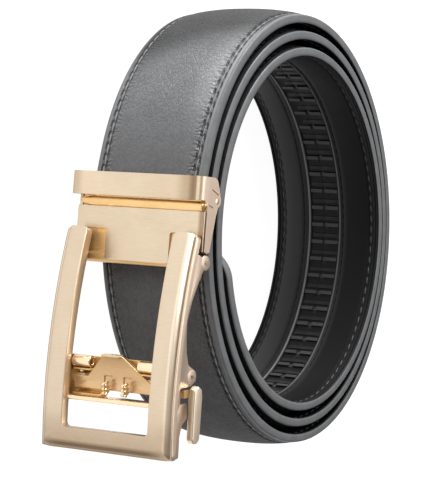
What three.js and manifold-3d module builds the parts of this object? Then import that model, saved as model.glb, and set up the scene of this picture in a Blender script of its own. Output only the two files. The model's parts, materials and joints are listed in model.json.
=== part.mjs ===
// Ratchet belt: a padded leather strap rolled into a coil, with a clamp, a hinged frame and a pawl.
// Millimetres, +Z up. The belt lies on its side: the strap stands on its edge and the coil's axis is
// upright. Shapes are drawn looking down that axis, with X running down the buckle from its clamp to
// its bottom bar, Y pointing to the back of the coil and Z across the strap, nought at mid width.

import * as THREE from 'three';
import { mergeVertices } from 'three/addons/utils/BufferGeometryUtils.js';
import Module from 'manifold-3d';

const wasm = await Module();
wasm.setup();

const clearance = 0.3;

// Strap
const strapWidth = 35;
const edgeThickness = 2.4;
const crownPressed = 0.7;
const crownFree = 1.6;
const crownClamped = 0.25;
const liningThickness = 0.7;
const edgeLip = 0.8;
const edgeRound = 0.55;
const tipRadius = 8;

// Coil: the outer face of its first turn, and what each turn gives up
const coilHalfDepth = 49.15;
const coilHalfHeight = 61.5;
const depthPitch = 3.25;
const heightPitch = 4.5;
const risePerTurn = 0.66;
const leavesCoilAt = 24;
const tipAt = 1080;
const angleStep = 10;

// Ratchet track in the last turn
const trackWidth = 9.1;
const trackShift = -0.8;
const trackBase = 0.75;
const toothHeight = 0.55;
const toothPitch = 5.2;
const toothFace = 0.4;
const trackGroove = 1.3;
const grooveExtra = 0.12;
const trackFrom = 700;
const trackTo = 1040;

// Clamp, drawn about the hinge pin and turned by its lean
const buckleWidth = 42.4;
const cheekThickness = 1.8;
const clampLean = 10;
const barFrontDepth = 4.85;
const barWall = 1.6;
const barCorner = 2.6;
const barTop = 22.2;
const barBottom = 16.0;
const plateFrontDepth = 1.9;
const plateThickness = 1.2;
const slotStep = 0.7;
const plateTop = 13.2;
const flangeEnd = 2.7;
const notchTop = 7.3;
const notchFrom = 10.4;
const notchTo = 17.2;
const notchDepth = 0.6;
const rivetAlong = 16.1;
const rivetDepth = 3.05;
const rivetRadius = 0.95;
const jawThickness = 0.7;
const jawTop = 10.4;
const earThickness = 0.65;
const slitWidth = 0.35;

// Hinge between the clamp and the frame
const hingeX = 1.6;
const hingeSeat = 2.05;
const hingeY = -coilHalfDepth - hingeSeat;
const hingePinRadius = 1.0;
const barrelRadius = 1.75;
const lugRadius = 2.0;

// Frame
const frameTopX = -6.7;
const frameTopOut = 4.0;
const frameTopY = hingeY - frameTopOut;
const frameBottomX = 50.6;
const frameBottomOut = 18.2;
const frameBottomY = hingeY - frameBottomOut;
const frameBow = 2.5;
const frameThickness = 2.8;
const legWidth = 7.3;
const bottomBar = 6.0;
const wallThickness = 2.0;
const edgeBevel = 2.2;
const edgeBevelDrop = 0.9;
const bottomBevel = 2.2;
const bottomBevelDrop = 1.2;
const windowCorner = 1.2;
const legCorner = 1.3;

// Pawl, crossbar and lever; the depths of the pawl count forward from its pin
const pawlX = 30.2;
const pawlOut = 7.3;
const pawlY = hingeY - pawlOut;
const pawlPinRadius = 0.85;
const pawlBarrelRadius = 1.5;
const pawlArmWidth = 3.4;
const pawlFrontDepth = 5.1;
const pawlThickness = 0.8;
const bandFrom = 1.4;
const bandTo = 4.8;
const tabRise = 4.6;
const tabFrom = -3.5;
const tabTo = 2.5;
const tabFootFar = 4.5;
const tabFootNear = 0.8;
const tabLip = 1.0;
const armFrom = 3.0;
const armTo = 4.9;
const armSlotPlay = 0.7;
const knuckleX = 28.0;
const knuckleDepth = 4.2;
const knuckleRadius = 1.5;
const knuckleLength = 5.8;
const railX = 36.5;
const railHeight = 1.2;
const railWidth = 3.3;
const railFrontDepth = 8.4;
const wallDepth = 2.6;
const wallSheet = 0.7;
const wallTop = 26.8;
const wallBottom = 30.9;
const blockTo = -5.2;
const postWidth = 5.3;
const backSheetTop = 33.6;
const leverThickness = 2.0;
const springRadius = 1.15;
const springTop = 1.8;
const springAt = [-2.0, 4.3];

const halfStrap = strapWidth / 2;
const halfBuckle = buckleWidth / 2;
const lean = THREE.MathUtils.degToRad(clampLean);
const strapSeat = plateThickness - plateFrontDepth + clearance + crownClamped;

const steel = { color: 0xd9bd98, roughness: 0.35, metalness: 0.85 };
const leather = { color: 0x6d6d70, roughness: 0.6, metalness: 0 };
const liningLeather = { color: 0x2a2a2c, roughness: 0.7, metalness: 0 };
const trackPlastic = { color: 0x161617, roughness: 0.5, metalness: 0 };

function toManifold(geometry) {
  const bare = geometry.clone();
  bare.deleteAttribute('normal');
  bare.deleteAttribute('uv');
  const merged = mergeVertices(bare, 1e-4);
  return new wasm.Manifold(new wasm.Mesh({
    numProp: 3,
    vertProperties: new Float32Array(merged.attributes.position.array),
    triVerts: new Uint32Array(merged.index.array)
  }));
}

function toGeometry(manifold) {
  const mesh = manifold.getMesh();
  const geometry = new THREE.BufferGeometry();
  geometry.setAttribute('position', new THREE.BufferAttribute(new Float32Array(mesh.vertProperties), 3));
  geometry.setIndex(new THREE.BufferAttribute(new Uint32Array(mesh.triVerts), 1));
  geometry.computeVertexNormals();
  return geometry;
}

function join(...geometries) {
  return toGeometry(geometries.map(toManifold).reduce((all, next) => all.add(next)));
}

function cut(geometry, ...cutters) {
  const rest = cutters.map(toManifold).reduce((left, next) => left.subtract(next), toManifold(geometry));
  return toGeometry(rest);
}

// A closed body through rings of points, each ring one section outline of the same length.
function loft(rings, outline) {
  const count = outline.length;
  const positions = rings.flat().flatMap((p) => [p.x, p.y, p.z]);
  const index = [];
  for (let i = 0; i < rings.length - 1; i++) {
    for (let j = 0; j < count; j++) {
      const a = i * count + j;
      const b = i * count + ((j + 1) % count);
      index.push(a, b, a + count, b, b + count, a + count);
    }
  }
  const caps = THREE.ShapeUtils.triangulateShape(outline, []);
  const last = (rings.length - 1) * count;
  for (const [a, b, c] of caps) {
    index.push(a, c, b);
    index.push(last + a, last + b, last + c);
  }
  const geometry = new THREE.BufferGeometry();
  geometry.setAttribute('position', new THREE.Float32BufferAttribute(positions, 3));
  geometry.setIndex(index);
  return outward(geometry);
}

// Turns the faces round where their signed volume says that they point in.
function outward(geometry) {
  const p = geometry.attributes.position;
  const [a, b, c] = [new THREE.Vector3(), new THREE.Vector3(), new THREE.Vector3()];
  const faces = geometry.index.array;
  let volume = 0;
  for (let i = 0; i < faces.length; i += 3) {
    a.fromBufferAttribute(p, faces[i]);
    b.fromBufferAttribute(p, faces[i + 1]);
    c.fromBufferAttribute(p, faces[i + 2]);
    volume += a.dot(b.cross(c));
  }
  if (volume < 0) {
    for (let i = 0; i < faces.length; i += 3) {
      [faces[i], faces[i + 1]] = [faces[i + 1], faces[i]];
    }
  }
  return geometry;
}

function drawnOut(shape, depth) {
  return new THREE.ExtrudeGeometry(shape, { depth, bevelEnabled: false, curveSegments: 5 });
}

// An outline in X and Y, drawn out along Z.
function prism(points, from, to) {
  const shape = new THREE.Shape(points.map(([x, y]) => new THREE.Vector2(x, y)));
  return drawnOut(shape, to - from).translate(0, 0, from);
}

// An outline in X and Z, drawn out along Y.
function frontPrism(shape, from, to) {
  return drawnOut(shape, to - from).rotateX(Math.PI / 2).translate(0, to, 0);
}

function box(x, y, z) {
  const geometry = new THREE.BoxGeometry(x[1] - x[0], y[1] - y[0], z[1] - z[0]);
  return geometry.translate((x[0] + x[1]) / 2, (y[0] + y[1]) / 2, (z[0] + z[1]) / 2);
}

function rod(x, y, radius, from, to, sides = 14) {
  const geometry = new THREE.CylinderGeometry(radius, radius, to - from, sides);
  return geometry.rotateX(Math.PI / 2).translate(x, y, (from + to) / 2);
}

function bothSides(make) {
  return [make(1), make(-1)];
}

function span(sign, from, to) {
  return sign > 0 ? [from, to] : [-to, -from];
}

// The strap's path: the outer face at its edges, from the end in the clamp to the free tip.
function coilPoint(angle) {
  const turn = angle / 360;
  const a = THREE.MathUtils.degToRad(angle);
  return new THREE.Vector2(
    -(coilHalfHeight - heightPitch * turn) * Math.sin(a),
    -(coilHalfDepth - depthPitch * turn) * Math.cos(a)
  );
}

function coilStation(angle) {
  const ahead = coilPoint(angle + 0.5).sub(coilPoint(angle - 0.5)).normalize();
  const a = THREE.MathUtils.degToRad(angle);
  return {
    at: coilPoint(angle),
    out: new THREE.Vector2(ahead.y, -ahead.x).multiplyScalar(-1),
    crown: crownPressed + (crownFree - crownPressed) * Math.sin(a) ** 2,
    rise: risePerTurn * angle / 360,
    width: 1
  };
}

// A point given along and across the clamp, along counted up from its hinge, depth towards the back.
function clampPoint(along, depth) {
  return new THREE.Vector2(
    hingeX - along * Math.cos(lean) + depth * Math.sin(lean),
    hingeY + along * Math.sin(lean) + depth * Math.cos(lean)
  );
}

function clampedStations() {
  const end = clampPoint(barrelRadius + 2 * clearance, strapSeat);
  const mouth = clampPoint(plateTop - 1.3, strapSeat);
  const joinPoint = coilPoint(leavesCoilAt);
  const coilAhead = coilPoint(leavesCoilAt + 0.5).sub(coilPoint(leavesCoilAt - 0.5)).normalize();
  const clampAhead = mouth.clone().sub(end).normalize();
  const reach = joinPoint.distanceTo(mouth) / 3;
  const bend = new THREE.CubicBezierCurve(
    mouth,
    mouth.clone().addScaledVector(clampAhead, reach),
    joinPoint.clone().addScaledVector(coilAhead, -reach),
    joinPoint
  );
  const places = [
    { at: end, ahead: clampAhead, share: 0 },
    { at: mouth, ahead: clampAhead, share: 0 },
    ...[0.25, 0.5, 0.75].map((share) => ({
      at: bend.getPoint(share),
      ahead: bend.getTangent(share),
      share
    }))
  ];
  return places.map(({ at, ahead, share }) => ({
    at,
    out: new THREE.Vector2(-ahead.y, ahead.x),
    crown: crownClamped + (crownPressed - crownClamped) * share,
    rise: 0,
    width: 1
  }));
}

// Angles every step, with the last stretch closer together for the round corners of the tip.
function strapStations() {
  const stations = clampedStations();
  stations.push(coilStation(leavesCoilAt));
  const tipRoom = THREE.MathUtils.radToDeg(tipRadius / (coilHalfHeight - heightPitch * tipAt / 360));
  for (let angle = 30; angle < tipAt - tipRoom; angle += angleStep) {
    stations.push(coilStation(angle));
  }
  for (const share of [0, 0.3, 0.55, 0.75, 0.9, 1]) {
    const station = coilStation(tipAt - tipRoom * (1 - share));
    const inset = tipRadius * (1 - Math.sqrt(1 - share ** 2 * 0.98));
    station.width = 1 - inset / halfStrap;
    stations.push(station);
  }
  return stations;
}

// Heights in a section count from the strap's inner face.
function sectionRing(station, outline) {
  return outline.map(([z, height]) => new THREE.Vector3(
    station.at.x + station.out.x * (height - edgeThickness),
    station.at.y + station.out.y * (height - edgeThickness),
    z * station.width + station.rise
  ));
}

function sweepStrap(stations, outlineAt) {
  const outlines = stations.map(outlineAt);
  const rings = stations.map((station, i) => sectionRing(station, outlines[i]));
  return loft(rings, outlines[0].map(([z, height]) => new THREE.Vector2(z, height)));
}

function coverOutline(station) {
  const shoulder = halfStrap - edgeRound;
  const crownAt = (z) => edgeThickness + station.crown * (1 - (z / shoulder) ** 2);
  const inner = liningThickness + clearance;
  const lip = halfStrap - edgeLip;
  return [
    [halfStrap, 0],
    [halfStrap, edgeThickness - edgeRound],
    ...[1, 0.7, 0.36, 0, -0.36, -0.7, -1].map((share) => [share * shoulder, crownAt(share * shoulder)]),
    [-halfStrap, edgeThickness - edgeRound],
    [-halfStrap, 0],
    [-lip, 0],
    [-lip, inner],
    [lip, inner],
    [lip, 0]
  ];
}

function rectangle(halfWidth, low, high, shift = 0) {
  const [near, far] = [shift + halfWidth, shift - halfWidth];
  return [[near, low], [near, high], [far, high], [far, low]];
}

function trackStations(from, to) {
  const stations = [];
  for (let angle = from; angle <= to; angle += angleStep) {
    stations.push(coilStation(angle));
  }
  return stations;
}

const trackFloor = toothHeight + trackBase;
const channelStations = trackStations(trackFrom, trackTo);

function strapCover() {
  const channel = sweepStrap(channelStations, () => rectangle(
    trackWidth / 2 + 2 * clearance, liningThickness / 2, trackFloor + clearance, trackShift
  ));
  return cut(sweepStrap(strapStations(), coverOutline), channel);
}

function strapLining() {
  const halfLining = halfStrap - edgeLip - clearance;
  const slot = sweepStrap(channelStations, () => rectangle(
    trackWidth / 2 + clearance, -liningThickness, 2 * liningThickness, trackShift
  ));
  const stations = strapStations().slice(0, -1);
  return cut(sweepStrap(stations, () => rectangle(halfLining, 0, liningThickness)), slot);
}

// Saw teeth in two columns with a groove between them, rising towards the free tip.
function ratchetTrack() {
  const places = [];
  let gone = 0;
  let last = coilPoint(trackFrom + 1);
  for (let angle = trackFrom + 1; angle < trackTo - 2; angle += 0.1) {
    const here = coilPoint(angle);
    gone += here.distanceTo(last);
    last = here;
    places.push({ angle, gone });
  }
  const angleAt = (length) => places.find((place) => place.gone >= length).angle;
  const stations = [];
  const teeth = Math.floor(gone / toothPitch) - 1;
  const first = gone - teeth * toothPitch - toothFace;
  for (let tooth = 0; tooth < teeth; tooth++) {
    const start = first + tooth * toothPitch;
    stations.push({ ...coilStation(angleAt(start)), top: toothHeight });
    stations.push({ ...coilStation(angleAt(start + toothPitch - toothFace)), top: 0 });
  }
  const half = trackWidth / 2;
  const groove = trackGroove / 2;
  return sweepStrap(stations, ({ top }) => [
    [half, top], [half, trackFloor], [-half, trackFloor], [-half, top],
    [-groove, top], [-groove, toothHeight + grooveExtra], [groove, toothHeight + grooveExtra], [groove, top]
  ].map(([z, height]) => [z + trackShift, height]));
}

// Clamp shapes are drawn with X down from the hinge and Y as depth, then turned into place.
function intoClamp(geometry) {
  return geometry.rotateZ(-lean).translate(hingeX, hingeY, 0);
}

function keeperBar() {
  const back = -plateFrontDepth + plateThickness;
  const shape = new THREE.Shape();
  const front = -barFrontDepth;
  shape.moveTo(back, -halfBuckle);
  shape.lineTo(front + barCorner, -halfBuckle);
  shape.absarc(front + barCorner, -halfBuckle + barCorner, barCorner, -Math.PI / 2, -Math.PI, true);
  shape.lineTo(front, halfBuckle - barCorner);
  shape.absarc(front + barCorner, halfBuckle - barCorner, barCorner, Math.PI, Math.PI / 2, true);
  shape.lineTo(back, halfBuckle);
  const inner = halfBuckle - cheekThickness;
  const innerFront = front + barWall;
  shape.lineTo(back, inner);
  shape.lineTo(innerFront + 1, inner);
  shape.lineTo(innerFront, inner - 1);
  shape.lineTo(innerFront, 1 - inner);
  shape.lineTo(innerFront + 1, -inner);
  shape.lineTo(back, -inner);
  const geometry = drawnOut(shape, barTop - barBottom);
  geometry.applyMatrix4(new THREE.Matrix4().makeBasis(
    new THREE.Vector3(0, 1, 0), new THREE.Vector3(0, 0, 1), new THREE.Vector3(1, 0, 0)
  ));
  return geometry.translate(-barTop, 0, 0);
}

function cheekOutline() {
  const front = -plateFrontDepth;
  return [
    [-barTop, -barFrontDepth + barCorner], [-barTop, 1.4], [-barTop + 0.7, 2.6], [-barTop + 2.6, 3.5],
    [-rivetAlong - 1.6, rivetDepth + 1.1], [-rivetAlong - 0.6, rivetDepth + 1.5],
    [-rivetAlong + 0.7, rivetDepth + 1.4], [-rivetAlong + 1.7, rivetDepth + 0.4],
    [-plateTop + 1, 2.8], [-flangeEnd, 1.1], [-flangeEnd, front], [-plateTop, front],
    [-plateTop, front - 0.6], [-barBottom, -barFrontDepth + barCorner]
  ];
}

function slit(from, to) {
  const length = Math.hypot(to[0] - from[0], to[1] - from[1]);
  const geometry = new THREE.BoxGeometry(length, slitWidth, buckleWidth + 2);
  geometry.rotateZ(Math.atan2(to[1] - from[1], to[0] - from[0]));
  return geometry.translate((from[0] + to[0]) / 2, (from[1] + to[1]) / 2, 0);
}

function clampBody() {
  const front = -plateFrontDepth;
  const back = front + plateThickness;
  const betweenLugs = halfBuckle - wallThickness - 2 * clearance;
  const solid = join(
    keeperBar(),
    ...bothSides((side) => prism(cheekOutline(), ...span(side, halfBuckle - cheekThickness, halfBuckle))),
    box([-plateTop, -flangeEnd], [front, back], [-halfBuckle, halfBuckle]),
    box([-flangeEnd - 0.5, 0], [front, back], [-betweenLugs, betweenLugs]),
    box([1.7 - barTop, 0.5 - plateTop], [front + slotStep, back], [0.5 - halfBuckle, halfBuckle - 0.5]),
    rod(0, 0, barrelRadius, -betweenLugs, betweenLugs)
  );
  const body = cut(
    solid,
    rod(0, 0, hingePinRadius + clearance, -halfBuckle, halfBuckle),
    ...bothSides((side) => box(
      [-notchTop, -1.0], [front - 1, front + notchDepth], span(side, notchFrom, notchTo)
    )),
    ...bothSides((side) => rod(
      -rivetAlong, rivetDepth, rivetRadius + clearance,
      ...span(side, halfBuckle - 2 * cheekThickness, halfBuckle + 1), 10
    )),
    slit([-rivetAlong - 2.9, 0], [-rivetAlong - 1.6, 5]),
    slit([-rivetAlong + 0.8, -0.7], [-rivetAlong + 1.6, 1.5])
  );
  return intoClamp(body);
}

function clampJaw() {
  const front = strapSeat + edgeThickness + clearance;
  const outer = halfBuckle - cheekThickness - clearance;
  const ear = [
    [-rivetAlong - 1.2, rivetDepth - 0.9], [-rivetAlong - 0.7, rivetDepth + 1.2],
    [-rivetAlong + 0.9, rivetDepth + 1.3], [1 - jawTop, front + jawThickness], [1 - jawTop, front],
    [-rivetAlong + 1.6, rivetDepth - 1.4]
  ];
  return intoClamp(join(
    box([-jawTop, -barrelRadius - 2 * clearance], [front, front + jawThickness], [-outer, outer]),
    ...bothSides((side) => prism(ear, ...span(side, outer - earThickness, outer))),
    ...bothSides((side) => rod(
      -rivetAlong, rivetDepth, rivetRadius, ...span(side, outer - earThickness / 2, halfBuckle - 0.1), 10
    ))
  ));
}

function hingePin() {
  return rod(hingeX, hingeY, hingePinRadius, 0.1 - halfBuckle, halfBuckle - 0.1);
}

// The frame's front face bows forward as an arc from its leg tops to its bottom edge.
function frameArc(share, depth) {
  const top = new THREE.Vector2(frameTopX, frameTopY);
  const bottom = new THREE.Vector2(frameBottomX, frameBottomY);
  const chord = bottom.clone().sub(top);
  const radius = (chord.length() ** 2 / 4 + frameBow ** 2) / (2 * frameBow);
  const forward = new THREE.Vector2(chord.y, -chord.x).normalize();
  const centre = top.clone().add(bottom).multiplyScalar(0.5).addScaledVector(forward, frameBow - radius);
  const half = Math.asin(chord.length() / 2 / radius);
  const turn = half * (2 * share - 1);
  const along = chord.clone().normalize();
  return centre.clone()
    .addScaledVector(forward, (radius - depth) * Math.cos(turn))
    .addScaledVector(along, (radius - depth) * Math.sin(turn));
}

function framePlate() {
  const outline = [
    [halfBuckle, edgeBevelDrop], [halfBuckle, frameThickness], [-halfBuckle, frameThickness],
    [-halfBuckle, edgeBevelDrop], [edgeBevel - halfBuckle, 0], [halfBuckle - edgeBevel, 0]
  ];
  const rings = [];
  for (let step = 0; step <= 12; step++) {
    rings.push(outline.map(([z, depth]) => {
      const p = frameArc(step / 12, depth);
      return new THREE.Vector3(p.x, p.y, z);
    }));
  }
  return loft(rings, outline.map(([z, depth]) => new THREE.Vector2(z, depth)));
}

// The side wall behind the plate. Its rear edge is drawn in lug radii about the frame's bottom, the
// pawl pin and the hinge pin.
function wallOutline() {
  const front = [];
  for (let step = 0; step <= 8; step++) {
    const p = frameArc(0.1 + 0.9 * step / 8, edgeBevelDrop + legCorner / 3);
    front.push([p.x, p.y]);
  }
  const slotTop = (armFrom - armSlotPlay) / lugRadius;
  const slotBottom = (armTo + 2 * armSlotPlay) / lugRadius;
  const about = (x, y, points) => points.map((p) => [x + p[0] * lugRadius, y + p[1] * lugRadius]);
  return [
    ...front,
    ...about(frameBottomX, frameBottomY, [[-0.2, 2.05], [-2.9, 2.4], [-4.35, 3.0]]),
    ...about(pawlX, pawlY, [
      [5.2, -1.35], [slotBottom + 0.25, -1.15], [slotBottom, -1.55], [slotBottom, -2.7], [slotTop, -2.6],
      [slotTop, -0.25], [0.65, 0.85], [-0.65, 0.8], [-1.6, -0.7], [-3.35, -1.0], [-5.35, -0.95]
    ]),
    ...about(hingeX, hingeY, [
      [7.0, -4.35], [4.5, -3.15], [2.75, -1.95], [0.8, -0.45], [0, 0.8], [-0.7, -0.5], [-1.4, -1.7]
    ])
  ];
}

function windowShape() {
  const half = halfBuckle - legWidth;
  const bottom = frameBottomX - bottomBar;
  const shape = new THREE.Shape();
  shape.moveTo(frameTopX - 5, -half);
  shape.lineTo(bottom - windowCorner, -half);
  shape.absarc(bottom - windowCorner, windowCorner - half, windowCorner, -Math.PI / 2, 0, false);
  shape.lineTo(bottom, half - windowCorner);
  shape.absarc(bottom - windowCorner, half - windowCorner, windowCorner, 0, Math.PI / 2, false);
  shape.lineTo(frameTopX - 5, half);
  return shape;
}

// What a round corner leaves of its square, for a leg top whose corner lies at x and z.
function cornerShape(x, z, side) {
  const shape = new THREE.Shape();
  shape.moveTo(x - 1, z + side);
  shape.lineTo(x - 1, z - side * legCorner);
  shape.lineTo(x, z - side * legCorner);
  const centre = [x + legCorner, z - side * legCorner];
  for (const degrees of [30, 60, 90]) {
    const a = THREE.MathUtils.degToRad(degrees);
    shape.lineTo(centre[0] - legCorner * Math.cos(a), centre[1] + side * legCorner * Math.sin(a));
  }
  shape.lineTo(x + legCorner, z + side);
  return shape;
}

function buckleFrame() {
  const reach = [frameBottomY - frameThickness, hingeY + frameThickness];
  const inner = halfBuckle - legWidth;
  const corners = [[halfBuckle, 1], [inner, -1], [-inner, 1], [-halfBuckle, -1]];
  const topX = frameTopX - 0.3;
  const plate = cut(
    framePlate(),
    frontPrism(flipped(windowShape()), ...reach),
    ...corners.map(([z, side]) => frontPrism(flipped(cornerShape(topX, z, side)), ...reach)),
    prism([
      [frameBottomX - bottomBevel, frameBottomY - 1], [frameBottomX + 2, frameBottomY - 1],
      [frameBottomX + 2, frameBottomY + 2.2], [frameBottomX, frameBottomY + bottomBevelDrop],
      [frameBottomX - bottomBevel, frameBottomY - 0.15]
    ], -halfBuckle - 1, halfBuckle + 1)
  );
  const walls = bothSides((side) => {
    const across = span(side, halfBuckle - wallThickness, halfBuckle);
    return join(
      prism(wallOutline(), ...across),
      rod(hingeX, hingeY, lugRadius, ...across),
      rod(pawlX, pawlY, lugRadius, ...across)
    );
  });
  const bottomPost = (side) => box(
    [frameBottomX - 5, frameBottomX - 0.6], [frameBottomY + 1.8, frameBottomY + 3.8],
    span(side, inner, halfBuckle - 1)
  );
  return cut(
    join(plate, ...walls, ...bothSides(bottomPost)),
    rod(hingeX, hingeY, hingePinRadius + clearance, -halfBuckle - 1, halfBuckle + 1),
    rod(pawlX, pawlY, pawlPinRadius + clearance, -halfBuckle - 1, halfBuckle + 1)
  );
}

// frontPrism lays an outline's second axis along -Z, so an outline drawn in X and Z is mirrored first.
function flipped(shape) {
  return new THREE.Shape(shape.getPoints(5).map((p) => new THREE.Vector2(p.x, -p.y)));
}

function crossbar() {
  const inner = halfBuckle - legWidth - clearance;
  const outer = halfBuckle - wallThickness - clearance;
  const front = pawlY - wallDepth;
  const sheet = [front, front + wallSheet];
  const railFront = pawlY - railFrontDepth;
  const blockTop = pawlX + bandTo + 4 * clearance;
  const bottom = railX + railHeight;
  return join(
    box([railX, bottom], [railFront, railFront + railWidth], [-inner, inner]),
    box([blockTop, bottom], [railFront + railWidth - 0.6, front + wallSheet], [-inner, blockTo]),
    box([backSheetTop, bottom], sheet, [-outer, blockTo]),
    box([wallTop, bottom], sheet, [-outer, postWidth - outer]),
    box([wallTop, wallBottom], sheet, [-outer, outer]),
    ...bothSides((side) => rod(
      knuckleX, pawlY - knuckleDepth, knuckleRadius, ...span(side, inner - knuckleLength, inner)
    )),
    ...bothSides((side) => box(
      [wallTop + 0.2, knuckleX + 1], [pawlY - knuckleDepth + 0.5, front + 0.2],
      span(side, inner - knuckleLength, inner)
    ))
  );
}

function pawlPlate() {
  const front = pawlY - pawlFrontDepth;
  const back = front + pawlThickness;
  const half = halfBuckle - legWidth - 2 * clearance;
  const top = pawlX - tabRise;
  const foot = pawlX + bandFrom;
  const outline = new THREE.Shape([
    [pawlX + bandTo, -half], [pawlX + bandTo, half], [foot + 1.2, half], [foot + 1.2, half - tabFootNear],
    [top, tabTo], [top, tabFrom], [foot, tabFootFar - half], [foot, -half]
  ].map(([x, z]) => new THREE.Vector2(x, z)));
  const ends = (side) => span(side, half - pawlArmWidth, half);
  const arm = [pawlX + armFrom, pawlX + armTo];
  return cut(
    join(
      frontPrism(flipped(outline), front, back),
      box([top - 0.3, top + 0.5], [front - tabLip, back], [tabFrom, tabTo]),
      ...bothSides((side) => rod(pawlX, pawlY, pawlBarrelRadius, ...ends(side))),
      ...bothSides((side) => box([wallBottom + clearance, foot + 1.0], [back - 0.4, pawlY], ends(side))),
      box(arm, [back - 0.4, pawlY - 2.0], [half - 2, half]),
      box(arm, [pawlY - 4.0, pawlY - 2.0], [half - 1, halfBuckle + 0.2])
    ),
    rod(pawlX, pawlY, pawlPinRadius + clearance, -halfBuckle, halfBuckle)
  );
}

function pawlPin() {
  return rod(pawlX, pawlY, pawlPinRadius, 0.1 - halfBuckle, halfBuckle - 0.1);
}

function releaseLever() {
  const from = halfBuckle + 0.2 + clearance;
  const outline = [
    [1.0, -0.2], [1.6, 0.5], [2.65, 0.55], [8.0, -0.35], [8.5, -0.95], [8.35, -1.75], [7.8, -2.05],
    [2.9, -1.35], [1.4, -1.1]
  ].map(([x, y]) => [pawlX + x * lugRadius, pawlY + y * lugRadius]);
  return prism(outline, from, from + leverThickness);
}

function pawlSpring(z) {
  const [top, bottom] = [pawlX + springTop, railX - clearance];
  const geometry = new THREE.CylinderGeometry(springRadius, springRadius, bottom - top, 12);
  const y = pawlY - pawlFrontDepth - clearance - springRadius;
  return geometry.rotateZ(Math.PI / 2).translate((top + bottom) / 2, y, z);
}

const pieces = [
  ['strap_cover', strapCover(), leather],
  ['strap_lining', strapLining(), liningLeather],
  ['ratchet_track', ratchetTrack(), trackPlastic],
  ['clamp_body', clampBody(), steel],
  ['clamp_jaw', clampJaw(), steel],
  ['hinge_pin', hingePin(), steel],
  ['buckle_frame', buckleFrame(), steel],
  ['crossbar', crossbar(), steel],
  ['pawl_pin', pawlPin(), steel],
  ['pawl_plate', pawlPlate(), steel],
  ['pawl_spring_far', pawlSpring(springAt[0]), steel],
  ['pawl_spring_near', pawlSpring(springAt[1]), steel],
  ['release_lever', releaseLever(), steel]
];

// At rest the belt stands on a cheek of the clamp, the lug of the pawl pin and the back of the coil.
function restTurn() {
  const low = -halfBuckle;
  const boss = intoClamp(prism(cheekOutline(), low, 0)).attributes.position;
  const cheek = new THREE.Vector3(0, -Infinity, low);
  for (let i = 0; i < boss.count; i++) {
    if (boss.getY(i) > cheek.y) {
      cheek.set(boss.getX(i), boss.getY(i), low);
    }
  }
  const lug = new THREE.Vector3(pawlX, pawlY + lugRadius, low);
  const line = lug.clone().sub(cheek).normalize();
  const across = new THREE.Vector3(-line.y, line.x, 0);
  let slope = Infinity;
  for (const station of strapStations()) {
    const bottom = new THREE.Vector3(station.at.x, station.at.y, station.rise - halfStrap);
    const reach = bottom.sub(cheek);
    if (reach.dot(across) > coilHalfDepth) {
      slope = Math.min(slope, reach.z / reach.dot(across));
    }
  }
  const up = across.clone().multiplyScalar(-slope).setZ(1).normalize();
  return new THREE.Quaternion().setFromUnitVectors(up, new THREE.Vector3(0, 0, 1));
}

const belt = new THREE.Group();
for (const [name, geometry, look] of pieces) {
  const mesh = new THREE.Mesh(geometry, new THREE.MeshStandardMaterial(look));
  mesh.name = name;
  belt.add(mesh);
}
belt.quaternion.copy(restTurn());
belt.updateMatrixWorld(true);
const bounds = new THREE.Box3().setFromObject(belt, true);
belt.position.set(
  -(bounds.min.x + bounds.max.x) / 2, -(bounds.min.y + bounds.max.y) / 2, -bounds.min.z
);

const group = new THREE.Group();
group.add(belt);

export default group;
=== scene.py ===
import json
import math
import bpy
import numpy as np
from mathutils import Matrix, Vector


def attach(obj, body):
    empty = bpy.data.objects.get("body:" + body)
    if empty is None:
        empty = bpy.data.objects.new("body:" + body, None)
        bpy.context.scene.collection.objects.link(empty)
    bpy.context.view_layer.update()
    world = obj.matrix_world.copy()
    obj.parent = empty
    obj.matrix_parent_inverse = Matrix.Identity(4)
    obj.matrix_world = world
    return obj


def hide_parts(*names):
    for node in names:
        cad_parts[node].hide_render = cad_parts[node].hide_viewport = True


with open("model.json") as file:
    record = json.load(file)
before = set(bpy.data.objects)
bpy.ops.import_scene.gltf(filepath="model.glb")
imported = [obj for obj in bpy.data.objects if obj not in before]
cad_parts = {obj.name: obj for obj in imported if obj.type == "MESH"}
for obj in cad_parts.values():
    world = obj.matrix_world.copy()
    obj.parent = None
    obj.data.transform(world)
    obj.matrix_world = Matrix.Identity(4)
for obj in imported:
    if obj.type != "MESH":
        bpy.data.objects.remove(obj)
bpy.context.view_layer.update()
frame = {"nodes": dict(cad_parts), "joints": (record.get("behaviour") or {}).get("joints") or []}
scene = bpy.context.scene
scene.view_settings.view_transform = "Standard"

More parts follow.
